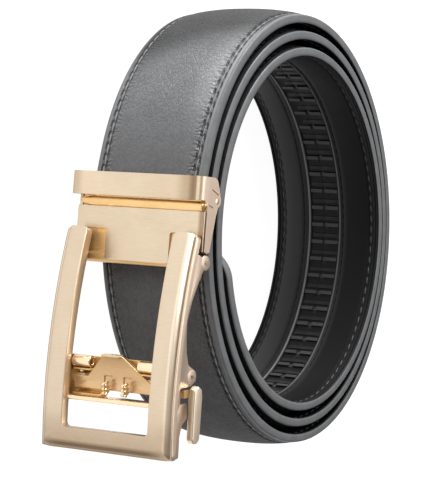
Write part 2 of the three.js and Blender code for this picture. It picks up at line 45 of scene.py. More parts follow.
# The belt is drawn lying straight, in millimetres: x down the buckle, y to the back of the coil,
# z across the strap. The hinge in the record says where that drawing stands in the frame.
strap = {
    "width": 35.0, "edge": 2.4, "crownPressed": 0.7, "crownFree": 1.6, "crownClamped": 0.25,
    "lining": 0.7, "halfDepth": 49.15, "halfHeight": 61.5, "depthPitch": 3.25, "heightPitch": 4.5,
    "rise": 0.66, "leavesCoil": 24.0, "tip": 1080.0, "tipRadius": 8.0, "step": 1.5,
    "trackFrom": 700.0, "trackTo": 1040.0, "trackHalf": 4.55, "trackShift": -0.8, "toothPitch": 5.2,
    "stitchAt": 15.0, "stitchPitch": 3.1, "firstTurn": 358.0, "farRow": -7.9, "nearRow": 5.5,
    "puckerPitch": 1.35, "crownTo": 16.95,
}
clamp = {
    "halfWidth": 21.2, "cheek": 1.8, "lean": math.radians(10), "hinge": (1.6, -51.2),
    "barFront": 4.85, "barWall": 1.6, "barCorner": 2.6, "barTop": 22.2, "barBottom": 16.0,
    "plateFront": 1.9, "plate": 1.2, "slotStep": 0.7, "plateTop": 13.2, "flangeEnd": 2.7,
    "notchTop": 7.3, "notchFrom": 10.4, "notchTo": 17.2, "notchDepth": 0.6,
    "rivetAlong": 16.1, "rivetDepth": 3.05, "rivetRadius": 0.95,
    "pinRadius": 1.0, "barrelRadius": 1.75, "lugRadius": 2.0, "farInset": 0.9, "plateEnd": 0.9,
}
hingeJoint = next(j for j in frame["joints"] if j["name"] == "frame_hinge")
upright = Vector((0, 0, 1)).rotation_difference(Vector(hingeJoint["axis"])).to_matrix().to_4x4()
beltPlace = (
    Matrix.Translation(hingeJoint["pos_m"]) @ upright @ Matrix.Scale(0.001, 4)
    @ Matrix.Translation((-clamp["hinge"][0], -clamp["hinge"][1], 0))
)
clampPlace = Matrix.Translation((*clamp["hinge"], 0)) @ Matrix.Rotation(-clamp["lean"], 4, "Z")

# camera
camera = {
    "lens": 176.48, "place": (-80.72, -541.83, 367.76),
    "right": (0.020870, 0.570248, 0.821207), "up": (-0.991798, 0.115407, -0.054933),
    "back": (-0.126098, -0.813325, 0.567980),
}
cameraData = bpy.data.cameras.new("photoCamera")
cameraData.lens = camera["lens"]
cameraData.sensor_width = 36
cameraObject = bpy.data.objects.new("photoCamera", cameraData)
scene.collection.objects.link(cameraObject)
axes = Matrix((camera["right"], camera["up"], camera["back"])).transposed()
turned = upright.to_3x3() @ axes
cameraObject.matrix_world = (
    Matrix.Translation(beltPlace @ Vector(camera["place"])) @ turned.to_4x4()
)
scene.camera = cameraObject
print("camera placed")


# making and finishing pieces
def clearSelection():
    if bpy.context.object and bpy.context.object.mode != "OBJECT":
        bpy.ops.object.mode_set(mode="OBJECT")
    bpy.ops.object.select_all(action="DESELECT")


def pick(piece):
    clearSelection()
    piece.select_set(True)
    bpy.context.view_layer.objects.active = piece


def faceOutward(piece, merge=0.0001):
    pick(piece)
    bpy.ops.object.mode_set(mode="EDIT")
    bpy.ops.mesh.select_all(action="SELECT")
    bpy.ops.mesh.remove_doubles(threshold=merge)
    bpy.ops.mesh.select_all(action="SELECT")
    bpy.ops.mesh.normals_make_consistent(inside=False)
    bpy.ops.object.mode_set(mode="OBJECT")


# An outline starts as a circle with as many points, each then moved to its own place.
def startOutline(name, points):
    clearSelection()
    bpy.ops.mesh.primitive_circle_add(vertices=len(points), radius=1, fill_type="NGON")
    piece = bpy.context.object
    piece.name = piece.data.name = name
    for vert, point in zip(piece.data.vertices, points):
        vert.co = point
    return piece


def pushOut(piece, push):
    pick(piece)
    bpy.ops.object.mode_set(mode="EDIT")
    bpy.ops.mesh.select_all(action="SELECT")
    bpy.ops.mesh.extrude_region_move(TRANSFORM_OT_translate={"value": push})
    bpy.ops.object.mode_set(mode="OBJECT")
    faceOutward(piece)
    return piece


def sideShape(name, outline, low, high):
    return pushOut(startOutline(name, [(x, y, low) for x, y in outline]), (0, 0, high - low))


def frontShape(name, outline, front, back):
    return pushOut(startOutline(name, [(x, front, z) for x, z in outline]), (0, back - front, 0))


def bar(name, x, y, z):
    return sideShape(name, [(x[0], y[0]), (x[1], y[0]), (x[1], y[1]), (x[0], y[1])], *z)


def rod(name, x, y, radius, low, high, sides=40):
    clearSelection()
    bpy.ops.mesh.primitive_cylinder_add(
        vertices=sides, radius=radius, depth=high - low, location=(x, y, (low + high) / 2)
    )
    piece = bpy.context.object
    piece.name = piece.data.name = name
    bpy.ops.object.transform_apply(location=True, rotation=True, scale=True)
    return piece


def useModifier(piece, kind, **values):
    pick(piece)
    modifier = piece.modifiers.new(kind.lower(), kind)
    for key, value in values.items():
        setattr(modifier, key, value)
    bpy.ops.object.modifier_apply(modifier=modifier.name)


def softenEdges(piece, width, segments=3, angle=32):
    useModifier(
        piece, "BEVEL", width=width, segments=segments, limit_method="ANGLE",
        angle_limit=math.radians(angle), use_clamp_overlap=True
    )


def combine(piece, others, operation):
    for other in others:
        useModifier(piece, "BOOLEAN", operation=operation, object=other, solver="EXACT")
        bpy.data.objects.remove(other)
    faceOutward(piece, 0.002)
    return piece


def gather(name, parts):
    pick(parts[0])
    for part in parts:
        part.select_set(True)
    bpy.ops.object.join()
    parts[0].name = parts[0].data.name = name
    return parts[0]


def smoothFaces(piece, angle=38):
    pick(piece)
    bpy.ops.object.shade_smooth_by_angle(angle=math.radians(angle))


def settle(piece, body, material, slotName, *replaced, place=Matrix.Identity(4), angle=38):
    piece.data.transform(beltPlace @ place)
    smoothFaces(piece, angle)
    if material is not None:
        piece.data.materials.clear()
        piece.data.materials.append(material)
    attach(piece, body)
    if replaced:
        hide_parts(*replaced)
    return piece


# Faces that look across the strap take a second material, or only those that look in over the window.
def paintAcross(piece, material, least, inward=False):
    piece.data.materials.append(material)
    drawn = beltPlace.inverted()
    across = beltPlace.to_3x3().normalized() @ Vector((0, 0, 1))
    for polygon in piece.data.polygons:
        facing = polygon.normal.dot(across)
        if abs(facing) > least and not (inward and facing * (drawn @ polygon.center).z >= 0):
            polygon.material_index = len(piece.data.materials) - 1


# A sheet with a given point at each crossing of its rows, joined round where its sides meet.
def shapedSheet(name, points, uv, closed=True):
    rows, across = points.shape[:2]
    clearSelection()
    bpy.ops.mesh.primitive_grid_add(x_subdivisions=rows - 1, y_subdivisions=across - 1, size=1)
    piece = bpy.context.object
    piece.name = piece.data.name = name
    mesh = piece.data
    flat = np.empty(len(mesh.vertices) * 3)
    mesh.vertices.foreach_get("co", flat)
    flat = flat.reshape(-1, 3)
    i = np.rint((flat[:, 0] + 0.5) * (rows - 1)).astype(int)
    j = np.rint((flat[:, 1] + 0.5) * (across - 1)).astype(int)
    mesh.vertices.foreach_set("co", points[i, j].ravel())
    corner = np.empty(len(mesh.loops), int)
    mesh.loops.foreach_get("vertex_index", corner)
    mesh.uv_layers[0].name = "strapMap"
    mesh.uv_layers[0].data.foreach_set("uv", uv[i[corner], j[corner]].ravel())
    if closed:
        faceOutward(piece, 0.0005)
        bpy.ops.object.mode_set(mode="EDIT")
        bpy.ops.mesh.select_all(action="SELECT")
        bpy.ops.mesh.fill_holes(sides=0)
        bpy.ops.object.mode_set(mode="OBJECT")
    faceOutward(piece, 0.0005)
    return piece


# the strap's path
def coilPoint(angle):
    turn = angle / 360
    a = np.radians(angle)
    return np.stack([
        -(strap["halfHeight"] - strap["heightPitch"] * turn) * np.sin(a),
        -(strap["halfDepth"] - strap["depthPitch"] * turn) * np.cos(a),
    ], -1)


def clampPoint(along, depth):
    x, y = clamp["hinge"]
    c, s = math.cos(clamp["lean"]), math.sin(clamp["lean"])
    return np.array([x - along * c + depth * s, y + along * s + depth * c])


def strapPath():
    gap = 0.3
    seat = clamp["plate"] - clamp["plateFront"] + gap + strap["crownClamped"]
    end = clampPoint(clamp["barrelRadius"] + 2 * gap, seat)
    mouth = clampPoint(clamp["plateTop"] - 1.3, seat)
    leave = strap["leavesCoil"]
    joinPoint = coilPoint(leave)
    coilAhead = coilPoint(leave + 0.5) - coilPoint(leave - 0.5)
    coilAhead /= np.linalg.norm(coilAhead)
    clampAhead = (mouth - end) / np.linalg.norm(mouth - end)
    reach = np.linalg.norm(joinPoint - mouth) / 3
    handles = [mouth, mouth + clampAhead * reach, joinPoint - coilAhead * reach, joinPoint]
    points, crowns, rises, angles = [], [], [], []
    for share in np.linspace(0, 1, 9)[:-1]:
        points.append(end + (mouth - end) * share)
        crowns.append(strap["crownClamped"])
        rises.append(0)
        angles.append(0)
    for t in np.linspace(0, 1, 12)[:-1]:
        weights = [(1 - t) ** 3, 3 * t * (1 - t) ** 2, 3 * t * t * (1 - t), t ** 3]
        points.append(sum(w * h for w, h in zip(weights, handles)))
        crowns.append(strap["crownClamped"] + (strap["crownPressed"] - strap["crownClamped"]) * t)
        rises.append(0)
        angles.append(leave * t)
    for angle in np.arange(leave, strap["tip"] + 0.01, strap["step"]):
        points.append(coilPoint(angle))
        free = math.sin(math.radians(angle)) ** 2
        crowns.append(strap["crownPressed"] + (strap["crownFree"] - strap["crownPressed"]) * free)
        rises.append(strap["rise"] * angle / 360)
        angles.append(angle)
    points = np.array(points)
    crowns, rises, angles = np.array(crowns), np.array(rises), np.array(angles)
    # the clamped end sits straight; the step in rise and crown where the coil starts is eased out
    spread = np.exp(-np.linspace(-2, 2, 15) ** 2)
    spread /= spread.sum()
    crowns = np.convolve(np.pad(crowns, 7, "edge"), spread, "valid")
    rises = np.convolve(np.pad(rises, 7, "edge"), spread, "valid")
    ahead = np.gradient(points, axis=0)
    ahead /= np.linalg.norm(ahead, axis=1)[:, None]
    out = np.stack([-ahead[:, 1], ahead[:, 0]], -1)
    steps = np.linalg.norm(np.diff(points, axis=0), axis=1)
    length = np.concatenate([[0], np.cumsum(steps)])
    room = np.clip((strap["tipRadius"] - (length[-1] - length)) / strap["tipRadius"], 0, 1)
    inset = strap["tipRadius"] * (1 - np.sqrt(1 - room ** 2 * 0.98))
    return {
        "at": points, "out": out, "crown": crowns, "rise": rises, "angle": angles,
        "length": length, "narrow": 1 - inset / (strap["width"] / 2),
    }


path = strapPath()
print("strap length mm", round(float(path["length"][-1]), 1))


def onPath(length):
    return {
        key: np.stack([np.interp(length, path["length"], path[key][..., k])
                       for k in range(path[key].shape[1])], -1)
        if path[key].ndim == 2 else np.interp(length, path["length"], path[key])
        for key in path
    }


# Points across the strap at each place of its path: across is z, height counts from the inner face.
def strapPoints(place, across, height):
    outward = place["out"][:, None, :] * (height - strap["edge"])[..., None]
    flat = place["at"][:, None, :] + outward
    z = across * place["narrow"][:, None] + place["rise"][:, None]
    return np.concatenate([flat, z[..., None]], -1)


# materials
def addNode(tree, kind, values=(), **settings):
    node = tree.nodes.new(kind)
    for key, value in settings.items():
        setattr(node, key, value)
    for socket, value in dict(values).items():
        if isinstance(value, bpy.types.NodeSocket):
            tree.links.new(value, node.inputs[socket])
        else:
            node.inputs[socket].default_value = value
    return node


def maths(tree, operation, *values):
    return addNode(tree, "ShaderNodeMath", dict(enumerate(values)), operation=operation).outputs[0]


def ramp(tree, value, *stops):
    node = addNode(tree, "ShaderNodeValToRGB", {"Fac": value})
    node.color_ramp.interpolation = "EASE"
    while len(node.color_ramp.elements) < len(stops):
        node.color_ramp.elements.new(0.5)
    for element, (at, tone) in zip(node.color_ramp.elements, stops):
        element.position = at
        element.color = (tone, tone, tone, 1) if isinstance(tone, (int, float)) else (*tone, 1)
    return node.outputs["Color"]


def mixTones(tree, share, first, second, blend="MIX"):
    values = {0: share, 6: first, 7: second}
    return addNode(tree, "ShaderNodeMix", values, data_type="RGBA", blend_type=blend).outputs[2]


def tinted(tree, tone, tint):
    return mixTones(tree, 1.0, tone, tint, "MULTIPLY")


def noise(tree, place, scale, detail=2.0, **values):
    values = {"Vector": place, "Scale": scale, "Detail": detail, **values}
    return addNode(tree, "ShaderNodeTexNoise", values).outputs["Fac"]


def partsOf(tree, place):
    return addNode(tree, "ShaderNodeSeparateXYZ", {0: place}).outputs


def shareOf(tree, value, whole):
    return maths(tree, "DIVIDE", value, whole)


def awayFrom(tree, value, place):
    return maths(tree, "ABSOLUTE", maths(tree, "SUBTRACT", value, place))


def feed(tree, shader, label, value):
    tree.links.new(value, shader.inputs[label])


def feedBump(tree, shader, height, strength, distance):
    bump = addNode(tree, "ShaderNodeBump", {"Height": height, "Strength": strength, "Distance": distance})
    feed(tree, shader, "Normal", bump.outputs[0])


def newGroup(name, inputs, outputs):
    group = bpy.data.node_groups.new(name, "ShaderNodeTree")
    for label, kind, value in inputs:
        socket = group.interface.new_socket(label, in_out="INPUT", socket_type=kind)
        if value is not None:
            socket.default_value = value
    for label in outputs:
        group.interface.new_socket(label, in_out="OUTPUT", socket_type="NodeSocketFloat")
    return group, group.nodes.new("NodeGroupInput").outputs, group.nodes.new("NodeGroupOutput").inputs


def useGroup(tree, group, **values):
    return addNode(tree, "ShaderNodeGroup", values, node_tree=group).outputs


def newMaterial(name, **values):
    material = bpy.data.materials.new(name)
    material.use_nodes = True
    shader = material.node_tree.nodes["Principled BSDF"]
    for label, value in values.items():
        shader.inputs[label.replace("_", " ")].default_value = value
    return material, material.node_tree, shader


# Leather grain: short wrinkles a little longer than wide, over broader and softer swells.
def makeGrain():
    group, start, end = newGroup(
        "leatherGrain",
        [("Place", "NodeSocketVector", None), ("Wrinkles", "NodeSocketFloat", 1250.0),
         ("Depth", "NodeSocketFloat", 1.0)],
        ["Height", "Tone"])
    place = start["Place"]
    warp = addNode(group, "ShaderNodeTexNoise", {"Vector": place, "Scale": 420.0, "Detail": 2.0})
    shift = addNode(group, "ShaderNodeVectorMath", {0: warp.outputs["Color"], 1: (0.0009, 0.0009, 0)},
                    operation="MULTIPLY")
    moved = addNode(group, "ShaderNodeVectorMath", {0: place, 1: shift.outputs[0]}, operation="ADD")
    drawn = addNode(group, "ShaderNodeVectorMath", {0: moved.outputs[0], 1: (0.58, 1.0, 1.0)},
                    operation="MULTIPLY").outputs[0]
    cells = addNode(group, "ShaderNodeTexVoronoi",
                    {"Vector": drawn, "Scale": start["Wrinkles"], "Randomness": 1.0},
                    feature="DISTANCE_TO_EDGE")
    pits = ramp(group, cells.outputs["Distance"], (0.0, 0.0), (0.2, 1.0))
    ridges = noise(group, drawn, 900.0, 3.0, Roughness=0.6)
    swell = noise(group, place, 130.0)
    body = maths(group, "MULTIPLY_ADD", pits, 0.25, maths(group, "MULTIPLY", ridges, 0.6))
    body = maths(group, "MULTIPLY", body, start["Depth"])
    body = maths(group, "ADD", body, maths(group, "MULTIPLY", swell, 0.5))
    group.links.new(body, end["Height"])
    broad = maths(group, "MULTIPLY_ADD", pits, 0.16, maths(group, "MULTIPLY", swell, 0.36))
    group.links.new(maths(group, "ADD", maths(group, "MULTIPLY", ridges, 0.5), broad), end["Tone"])
    return group


# Stitch marks beside a seam: small dark dents on both sides of each thread.
def makeDents():
    inputs = [("Along", 0.0), ("Across", 0.0), ("Pitch", 0.0031), ("Reach", 0.00058), ("Size", 0.00044)]
    group, start, end = newGroup(
        "seamDents", [(label, "NodeSocketFloat", value) for label, value in inputs], ["Dents"])
    across = start["Across"]
    slanted = maths(group, "ADD", start["Along"], maths(group, "MULTIPLY", across, 0.9))
    turns = shareOf(group, slanted, start["Pitch"])
    wave = maths(group, "COSINE", maths(group, "MULTIPLY", turns, 2 * math.pi))
    pulse = ramp(group, maths(group, "MULTIPLY_ADD", wave, 0.5, 0.5), (0.15, 0.4), (0.6, 1.0))
    away = awayFrom(group, maths(group, "ABSOLUTE", across), start["Reach"])
    beside = ramp(group, shareOf(group, away, start["Size"]), (0.25, 1.0), (1.0, 0.0))
    group.links.new(maths(group, "MULTIPLY", pulse, beside), end["Dents"])
    return group


# Brushed plate: long fine scratches one way, with slow cloudy change in how bright they are.
def makeBrushing():
    group, start, end = newGroup(
        "brushedPlate",
        [("Place", "NodeSocketVector", None), ("Along", "NodeSocketFloat", 60.0),
         ("Crosswise", "NodeSocketFloat", 9000.0)],
        ["Scratches", "Cloud"])
    parts = partsOf(group, start["Place"])
    stretched = addNode(group, "ShaderNodeCombineXYZ", {
        axis: maths(group, "MULTIPLY", parts[axis], start[stretch])
        for axis, stretch in (("X", "Crosswise"), ("Y", "Crosswise"), ("Z", "Along"))})
    group.links.new(noise(group, stretched.outputs[0], 1.0, 3.0), end["Scratches"])
    group.links.new(noise(group, start["Place"], 90.0), end["Cloud"])
    return group


grain = makeGrain()
dents = makeDents()
brushing = makeBrushing()


def strapMapOf(tree):
    return addNode(tree, "ShaderNodeUVMap", uv_map="strapMap").outputs["UV"]


def seamDents(tree, along, across):
    row = maths(tree, "SUBTRACT", maths(tree, "ABSOLUTE", across), seamAt)
    return useGroup(tree, dents, Along=along, Across=row, Pitch=stitchPitch)["Dents"]


# Where a point lies across the strap, from 0 at the far edge to 1 at the near one.
def acrossShareOf(tree, across):
    return maths(tree, "MULTIPLY_ADD", across, 1000 / strap["width"], 0.5)


# Light and shade are painted into the tones below, to match the view from the front.
def makeCoverLeather():
    material, tree, shader = newMaterial("coverLeather", IOR=1.47)
    place = strapMapOf(tree)
    parts = partsOf(tree, place)
    along, across = parts["X"], parts["Y"]
    stitchDents = seamDents(tree, along, across)
    outer = maths(tree, "MULTIPLY", maths(tree, "ABSOLUTE", across), 2000 / strap["width"])
    byTheSeams = ramp(tree, outer, (0.62, 1.0), (0.82, 0.15))
    alongTurn = ramp(tree, along, (0.02, 0.3), (0.045, 1.0), (0.12, 1.0), (0.15, 0.5),
                     (firstTurn - 0.08, 0.3))
    wrinkles = useGroup(tree, grain, Place=place, Depth=maths(tree, "MULTIPLY", byTheSeams, alongTurn))
    tone = ramp(tree, wrinkles["Tone"], (0.3, (0.062, 0.063, 0.065)), (0.72, (0.086, 0.087, 0.09)))
    tone = mixTones(tree, ramp(tree, outer, (0.885, 0.0), (0.93, 1.0)), tone, (0.108, 0.11, 0.113, 1))
    acrossShare = acrossShareOf(tree, across)
    # painted light and shade across the strap: darker towards the far edge, lighter towards the near one
    tone = tinted(tree, tone, ramp(tree, acrossShare, (0.05, 0.95), (0.3, 1.05), (0.72, 1.1), (0.9, 1.25)))
    # painted light and shade: the strap is painted lighter on its upper front, dark where it turns away at
    # the top, and stays so round the back
    turnAway = maths(tree, "SUBTRACT", along, maths(tree, "MULTIPLY", across, 0.45))
    shade = ramp(tree, turnAway, (0.022, 1.0), (0.032, 1.15), (0.048, 1.35), (0.054, 1.2), (0.067, 0.34),
                 (firstTurn - 0.12, 0.45), (firstTurn - 0.05, 0.62), (firstTurn - 0.015, 0.85))
    tone = tinted(tree, tone, shade)
    # painted sheen by the near seam, on the bend
    nearSide = ramp(tree, acrossShare, (0.66, 0.0), (0.82, 1.0), (0.9, 1.0), (0.94, 0.2))
    onBend = ramp(tree, turnAway, (0.024, 0.0), (0.038, 1.0), (0.047, 0.9), (0.06, 0.0))
    sheen = maths(tree, "MULTIPLY", nearSide, onBend)
    tone = tinted(tree, tone, mixTones(tree, sheen, (1, 1, 1, 1), (1.5, 1.5, 1.5, 1)))
    tone = mixTones(tree, stitchDents, tone, (0.012, 0.012, 0.013, 1))
    feed(tree, shader, "Base Color", tone)
    feed(tree, shader, "Roughness",
         maths(tree, "ADD", ramp(tree, wrinkles["Tone"], (0.3, 0.5), (0.75, 0.38)),
               ramp(tree, turnAway, (0.05, 0.0), (0.066, 0.4))))
    # short puckers run in from the near and far seams
    ripple = maths(tree, "MULTIPLY", noise(tree, place, 500.0, 1.0), 14.0)
    waves = maths(tree, "MULTIPLY", along, 2000 * math.pi / strap["puckerPitch"])
    pucker = maths(tree, "SINE", maths(tree, "ADD", waves, ripple))
    pucker = maths(tree, "MULTIPLY", pucker, ramp(tree, outer, (0.66, 0.0), (0.8, 0.3), (0.85, 0.0)))
    height = maths(tree, "SUBTRACT", maths(tree, "ADD", wrinkles["Height"], pucker),
                   maths(tree, "MULTIPLY", stitchDents, 1.2))
    feedBump(tree, shader, height, 0.85, 0.0005)
    return material


# The cover of the inner turns is the same grey leather, painted near black for the shade between the turns.
def makeShadedLeather():
    material, tree, shader = newMaterial("shadedLeather", Specular_IOR_Level=0.12)
    wrinkles = useGroup(tree, grain, Place=strapMapOf(tree), Depth=0.5)
    feed(tree, shader, "Base Color", ramp(tree, wrinkles["Tone"], (0.3, 0.005), (0.72, 0.014)))
    feed(tree, shader, "Roughness", ramp(tree, wrinkles["Tone"], (0.3, 0.8), (0.75, 0.65)))
    feedBump(tree, shader, wrinkles["Height"], 0.5, 0.0003)
    return material


def makeEdgePaint():
    material, tree, shader = newMaterial("edgePaint", IOR=1.45)
    layers = noise(tree, strapMapOf(tree), 300.0)
    tone = ramp(tree, layers, (0.3, (0.1, 0.102, 0.105)), (0.7, (0.118, 0.12, 0.123)))
    feed(tree, shader, "Base Color", tone)
    feed(tree, shader, "Roughness", ramp(tree, layers, (0.3, 0.52), (0.7, 0.46)))
    feedBump(tree, shader, layers, 0.15, 0.0001)
    return material


# The lining's tone is painted shade, in bands that get darker towards the near edge, deep in the coil.
def makeLiningLeather():
    material, tree, shader = newMaterial("liningLeather", IOR=1.48, Specular_IOR_Level=0.13)
    place = strapMapOf(tree)
    parts = partsOf(tree, place)
    along, across = parts["X"], parts["Y"]
    rows = maths(tree, "MAXIMUM", *[
        useGroup(tree, dents, Along=along, Across=maths(tree, "SUBTRACT", across, row / 1000),
                 Pitch=0.0029, Reach=0.0, Size=0.0004)["Dents"]
        for row in (strap["farRow"], strap["nearRow"])])
    wrinkles = useGroup(tree, grain, Place=place, Wrinkles=2100.0, Depth=0.35)
    bands = ((0.06, 0.012), (0.09, 0.042), (0.22, 0.03), (0.29, 0.012), (0.66, 0.018), (0.71, 0.004),
             (0.88, 0.004), (0.93, 0.011))
    tone = ramp(tree, acrossShareOf(tree, across), *bands)
    # painted highlight along the two ridges of the border round the track's channel
    bright = maths(tree, "MAXIMUM", *[
        ramp(tree, shareOf(tree, awayFrom(tree, across, at), 0.0004), (0.4, share), (1.0, 0.0))
        for at, share in ((-0.00595, 1.0), (0.00435, 0.5))])
    tone = mixTones(tree, bright, tone, (0.17, 0.17, 0.174, 1))
    dark = maths(tree, "MAXIMUM", rows, seamDents(tree, along, across))
    feed(tree, shader, "Base Color", mixTones(tree, dark, tone, (0.003, 0.003, 0.003, 1)))
    feed(tree, shader, "Roughness", ramp(tree, wrinkles["Tone"], (0.2, 0.55), (0.8, 0.42)))
    feedBump(tree, shader, maths(tree, "SUBTRACT", wrinkles["Height"], dark), 0.4, 0.00015)
    return material


def makeThread(name, dark, light):
    material, tree, shader = newMaterial(name, Roughness=0.6)
    strands = noise(tree, addNode(tree, "ShaderNodeTexCoord").outputs["Object"], 2600.0)
    feed(tree, shader, "Base Color", ramp(tree, strands, (0.3, dark), (0.7, light)))
    feedBump(tree, shader, strands, 0.5, 0.0001)
    return material


def makeTrackPlastic(first):
    material, tree, shader = newMaterial("trackPlastic", IOR=1.5, Specular_IOR_Level=0.14)
    place = strapMapOf(tree)
    cloud = noise(tree, place, 900.0, 3.0)
    fromFirst = maths(tree, "SUBTRACT", partsOf(tree, place)["X"], first)
    phase = maths(tree, "FRACT", shareOf(tree, fromFirst, strap["toothPitch"] / 1000))
    # painted highlight and shade along each tooth: the raised bar is painted lighter, the pad mid grey and
    # the low floors near black
    tone = ramp(tree, phase, (0.0, 0.055), (0.2, 0.055), (0.23, 0.001), (0.6, 0.002), (0.64, 0.016),
                (0.84, 0.016), (0.87, 0.0005), (0.98, 0.0005))
    tone = mixTones(tree, maths(tree, "MULTIPLY", cloud, 0.5), tone, (0.006, 0.006, 0.006, 1))
    feed(tree, shader, "Base Color", tone)
    feed(tree, shader, "Roughness", ramp(tree, cloud, (0.3, 0.5), (0.7, 0.36)))
    feedBump(tree, shader, cloud, 0.3, 0.0001)
    return material


def makePlate(name, dark, light, roughness, strength, tint=None, metallic=1.0):
    material, tree, shader = newMaterial(name, Metallic=metallic)
    place = addNode(tree, "ShaderNodeTexCoord").outputs["Object"]
    marks = useGroup(tree, brushing, Place=place)
    cloud = maths(tree, "MULTIPLY", marks["Cloud"], 0.4)
    share = maths(tree, "MULTIPLY_ADD", marks["Scratches"], 0.6, cloud)
    tone = ramp(tree, share, (0.3, dark), (0.7, light))
    feed(tree, shader, "Base Color", tint(tree, place, tone) if tint else tone)
    feed(tree, shader, "Roughness", ramp(tree, share, (0.3, roughness + 0.06), (0.7, roughness - 0.04)))
    feedBump(tree, shader, marks["Scratches"], strength, 0.00003)
    return material


# Painted highlights and shade on the frame's plating: bright bands and dark lines along the rim's bevels, a
# dark bevel along the bottom and a darker lower part. The map's first value runs from the outer edge to the
# inner one, the second from the near leg over the bottom to the far leg.
def rimLightAndShade(tree, place, tone):
    parts = partsOf(tree, strapMapOf(tree))
    across, turn = parts["X"], parts["Y"]
    down = shareOf(tree, partsOf(tree, place)["X"], 0.06)
    nearTop = ramp(
        tree, across, (0.0, (0.95, 0.88, 0.88)), (0.04, (1.3, 1.26, 1.3)), (0.06, (0.8, 0.7, 0.62)),
        (0.085, (0.9, 0.82, 0.75)), (0.1, (1.3, 1.32, 1.38)), (0.3, (1.25, 1.28, 1.36)),
        (0.36, (1.0, 1.0, 1.0)))
    nearLow = ramp(
        tree, across, (0.0, (1.0, 0.95, 0.93)), (0.05, (1.05, 1.0, 0.98)), (0.09, (1.25, 1.2, 1.18)),
        (0.16, (1.4, 1.38, 1.36)), (0.28, (1.2, 1.18, 1.16)), (0.36, (1.0, 0.99, 0.98)))
    bottom = ramp(
        tree, across, (0.0, (0.72, 0.66, 0.62)), (0.06, (0.8, 0.75, 0.72)), (0.12, (0.6, 0.54, 0.5)),
        (0.17, (0.34, 0.29, 0.25)), (0.28, (0.34, 0.29, 0.25)), (0.36, (0.62, 0.57, 0.53)),
        (0.46, (0.92, 0.9, 0.88)), (0.8, (0.97, 0.96, 0.96)))
    far = ramp(
        tree, across, (0.0, (0.85, 0.78, 0.78)), (0.05, (0.6, 0.54, 0.5)), (0.09, (0.95, 0.9, 0.9)),
        (0.17, (1.08, 1.08, 1.1)), (0.22, (0.78, 0.74, 0.7)), (0.28, (1.0, 1.0, 1.0)))
    near = mixTones(tree, ramp(tree, down, (0.38, 0.0), (0.66, 1.0)), nearTop, nearLow)
    rim = mixTones(tree, ramp(tree, turn, (0.0, 0.0), (0.5, 1.0)), near, bottom)
    rim = mixTones(tree, ramp(tree, turn, (0.55, 0.0), (1.0, 1.0)), rim, far)
    rim = tinted(tree, rim, ramp(tree, down, (0.66, (1.0, 1.0, 1.0)), (0.8, (0.77, 0.74, 0.71))))
    return tinted(tree, tone, rim)


# Painted light and shade on the clamp: the keeper bar is painted lighter in its middle than where it turns
# round its two ends, which take painted shade, with a painted highlight on its near corner; the plate is
# painted with shade by its near edge.
def barLightAndShade(tree, place, tone):
    parts = partsOf(tree, place)
    across = shareOf(tree, parts["Z"], 2 * clamp["halfWidth"] / 1000)
    onBar = maths(tree, "LESS_THAN", parts["X"], -0.0117)
    keeper = ramp(
        tree, across, (0.0, (0.62, 0.55, 0.48)), (0.05, (0.84, 0.8, 0.76)), (0.12, (1.08, 1.08, 1.1)),
        (0.5, (1.0, 1.0, 1.0)), (0.8, (0.95, 0.93, 0.91)), (0.9, (0.72, 0.66, 0.6)),
        (0.95, (0.4, 0.34, 0.29)), (0.968, (0.45, 0.4, 0.36)), (0.982, (1.3, 1.26, 1.24)))
    plate = ramp(tree, across, (0.945, (1.0, 1.0, 1.0)), (0.975, (0.55, 0.48, 0.42)))
    return tinted(tree, tone, mixTones(tree, onBar, plate, keeper))


# The pawl's tab is painted with shade, darker towards its lip.
def tabShade(tree, place, tone):
    fall = shareOf(tree, maths(tree, "SUBTRACT", partsOf(tree, place)["X"], 0.0265), 0.0095)
    shade = ramp(tree, fall, (0.0, (0.95, 0.92, 0.88)), (0.1, (0.62, 0.52, 0.42)),
                 (0.55, (0.78, 0.68, 0.56)), (0.95, (0.98, 0.9, 0.8)))
    return tinted(tree, tone, shade)


# After the two tones come roughness and scratch depth. The side, lever, notch, deep, slot, tab and window
# golds are copies of the one plating in other tones, painted for the light, shade and reflections of gold
# on those faces. Faces deep in the buckle are less metallic, so that they don't render too dark.
clampGold = makePlate("clampGold", (0.625, 0.505, 0.36), (0.69, 0.57, 0.425), 0.34, 0.4, barLightAndShade)
frameGold = makePlate("frameGold", (0.61, 0.49, 0.355), (0.67, 0.555, 0.42), 0.33, 0.3, rimLightAndShade)
leverGold = makePlate("leverGold", (0.78, 0.63, 0.47), (0.86, 0.72, 0.56), 0.34, 0.4)
sideGold = makePlate("sideGold", (0.575, 0.45, 0.345), (0.645, 0.51, 0.405), 0.36, 0.3)
notchGold = makePlate("notchGold", (0.72, 0.42, 0.15), (0.86, 0.56, 0.24), 0.3, 0.15, metallic=0.5)
polishedGold = makePlate("polishedGold", (0.84, 0.66, 0.44), (0.92, 0.74, 0.52), 0.2, 0.15)
deepGold = makePlate("deepGold", (0.62, 0.37, 0.13), (0.78, 0.5, 0.2), 0.24, 0.15, metallic=0.6)
slotGold = makePlate("slotGold", (0.76, 0.49, 0.21), (0.84, 0.57, 0.28), 0.24, 0.1)
tabGold = makePlate("tabGold", (0.68, 0.5, 0.29), (0.76, 0.58, 0.37), 0.3, 0.3, tabShade, 0.75)
windowGold = makePlate("windowGold", (0.66, 0.46, 0.27), (0.74, 0.54, 0.34), 0.3, 0.2, metallic=0.5)


# strap cover: crowned padded leather, drawn from the near edge over the front to the far edge
stitchPitch = strap["stitchPitch"] / 1000
seamAt = strap["stitchAt"] / 1000
firstTurn = float(np.interp(strap["firstTurn"], path["angle"], path["length"])) / 1000


